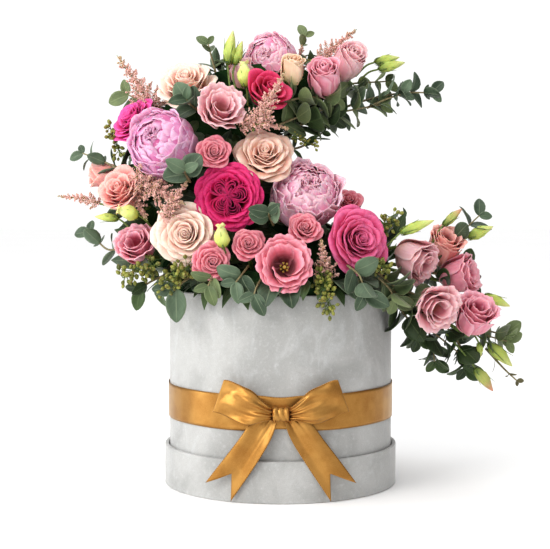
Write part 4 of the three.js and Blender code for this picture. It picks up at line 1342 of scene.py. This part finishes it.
plume("astilbe_by_bud", [(16, 4, 458), (22, 6, 474), (24, 8, 492)], 10, 420, 18)
plume("astilbe_low_right", [(56, -96, 232), (46, -112, 250), (42, -116, 278)], 15, 820, 28)

seeds("seeds_left", [(-130, -90, 250), (-148, -96, 246), (-168, -96, 236)], 60, 11, 2.5)
seeds("seeds_left_front", [(-96, -104, 250), (-108, -112, 242), (-124, -114, 228)], 56, 11, 2.4)
seeds("seeds_front", [(40, -112, 246), (46, -120, 230), (50, -122, 208)], 70, 11, 2.3)
seeds("seeds_right", [(104, -66, 280), (114, -68, 292), (122, -66, 302)], 44, 10, 2.2)
seeds("seeds_right_low", [(92, -96, 256), (104, -98, 250), (112, -96, 246)], 30, 9, 2.2)
seeds("seeds_far_left", [(-176, -24, 366), (-184, -18, 384), (-190, -14, 400)], 40, 9, 2.2)
seeds("seeds_top", [(20, -16, 440), (36, -18, 452), (28, -10, 466)], 34, 9, 1.8)
seeds("seeds_middle", [(10, -50, 388), (26, -46, 382), (38, -40, 378)], 24, 7, 1.7)

green_bud("bud_top_tall", [(-54, -50, 430), (-57, -40, 454), (-58, -36, 466), (-52, -36, 503)], 6.6)
green_bud("bud_top_small", [(-48, -50, 432), (-52, -42, 454), (-50, -36, 466), (-42, -34, 492)], 5.2)
green_bud("bud_by_peony_top", [(-36, -60, 420), (-36, -58, 432), (-37, -60, 440), (-40, -56, 468)], 8.4,
          PALE_BUD, frills=3)
green_bud("bud_by_fuchsia", [(-52, -106, 256), (-58, -116, 264), (-60, -122, 270), (-63, -128, 294)], 8.0,
          PALE_BUD, frills=4)
green_bud("bud_left", [(-140, -72, 290), (-146, -80, 298), (-152, -86, 302), (-174, -92, 309)], 8.0,
          PALE_BUD, frills=4)
green_bud("bud_left_low", [(-160, -50, 274), (-168, -46, 290), (-178, -44, 298), (-204, -42, 300)], 4.6)
green_bud("bud_right_high", [(84, 4, 456), (96, 6, 468), (106, 6, 472), (134, 12, 478)], 5.4)
green_bud("bud_right_low", [(86, 4, 448), (98, 4, 460), (110, 4, 464), (140, 8, 472)], 5.8)
green_bud("bud_horn_long", [(108, -74, 262), (118, -80, 274), (128, -84, 284), (164, -84, 297)], 5.6)
green_bud("bud_horn_top", [(164, -30, 262), (174, -20, 280), (182, -14, 290), (203, -10, 308)], 4.8, PINK_BUD)
green_bud("bud_horn_side", [(180, -20, 258), (196, -12, 268), (210, -8, 276), (239, -4, 288)], 6.6)
green_bud("bud_horn_mid", [(184, -34, 226), (208, -32, 218), (226, -30, 212), (255, -28, 200)], 5.6)
green_bud("bud_horn_low", [(196, -18, 186), (216, -12, 170), (234, -8, 156), (262, -4, 130)], 7.2)
green_bud("bud_horn_tiny", [(206, -18, 178), (216, -18, 168), (222, -18, 158), (224, -18, 142)], 3.6,
          sepals=3)
green_bud("bud_horn_end", [(176, -32, 178), (200, -26, 152), (218, -22, 130), (238, -20, 104)], 6.4, PINK_BUD)


# ---- Floor, light and camera ----

WORLD_LIGHT = 0.4
BACKDROP = 0.9
SUN_LIGHT = 1.6
LENS = 95.6
CAMERA_PLACE = (-0.0062, -1.645, 0.338)
CAMERA_DOWN = 3.63
LAMP_TARGET = (0.0, 0.0, 0.25)
# Square lamps: name, place, side in metres, power in watts and tint.
LAMPS = (
    ("key", (-1.7, -1.7, 1.5), 1.2, 31, (1.0, 0.99, 0.97)),
    ("window", (-2.2, -0.2, 0.6), 1.1, 11, (0.97, 0.99, 1.0)),
    ("fill", (-0.5, -2.6, 1.3), 1.6, 9, (1.0, 0.98, 0.96)),
)


def put(name, data, place):
    thing = bpy.data.objects.new(name, data)
    thing.location = place
    bpy.context.scene.collection.objects.link(thing)
    return thing


def world_light():
    """Even light from all round, with a brighter white behind the object where the camera sees it."""
    world = bpy.data.worlds.new("studio")
    bpy.context.scene.world = world
    world.use_nodes = True
    nodes, links = world.node_tree.nodes, world.node_tree.links
    blend = nodes.new("ShaderNodeMixShader")
    links.new(nodes.new("ShaderNodeLightPath").outputs["Is Camera Ray"], blend.inputs[0])
    backgrounds = (nodes["Background"], WORLD_LIGHT), (nodes.new("ShaderNodeBackground"), BACKDROP)
    for number, (background, strength) in enumerate(backgrounds, start=1):
        background.inputs["Color"].default_value = (1.0, 1.0, 1.0, 1.0)
        background.inputs["Strength"].default_value = strength
        links.new(background.outputs[0], blend.inputs[number])
    links.new(blend.outputs[0], nodes["World Output"].inputs["Surface"])


def floor():
    mesh = bpy.data.meshes.new("floor")
    half = 9.0
    mesh.from_pydata([(-half, -half, 0), (half, -half, 0), (half, half, 0), (-half, half, 0)], [],
                     [(0, 1, 2, 3)])
    m = Material("floor", Roughness=0.7, Specular_IOR_Level=0.2)
    m.colour(m.mix(m.noise(m.place(), 3.0), srgb(246, 246, 246), srgb(251, 251, 251)))
    mesh.materials.append(m.made)
    put("floor", mesh, (0.0, 0.0, 0.0))


def lamps():
    for name, place, size, power, tint in LAMPS:
        lamp = bpy.data.lights.new(name, "AREA")
        lamp.size = size
        lamp.energy = power
        lamp.color = tint
        light = put(name, lamp, place)
        way = np.array(LAMP_TARGET) - np.array(place)
        light.rotation_mode = "QUATERNION"
        light.rotation_quaternion = Vector(way).to_track_quat("-Z", "Y")
    sun = bpy.data.lights.new("sky", "SUN")
    sun.energy = SUN_LIGHT
    sun.angle = math.radians(80)
    put("sky", sun, (0.0, 0.0, 3.0))


def camera():
    lens = bpy.data.cameras.new("camera")
    lens.lens = LENS
    lens.sensor_width = 36
    made = put("camera", lens, CAMERA_PLACE)
    made.rotation_euler = (math.radians(90 - CAMERA_DOWN), 0.0, 0.0)
    bpy.context.scene.camera = made


bpy.context.scene.view_settings.view_transform = "Standard"
bpy.context.scene.view_settings.look = "Medium High Contrast"
world_light()
floor()
lamps()
camera()
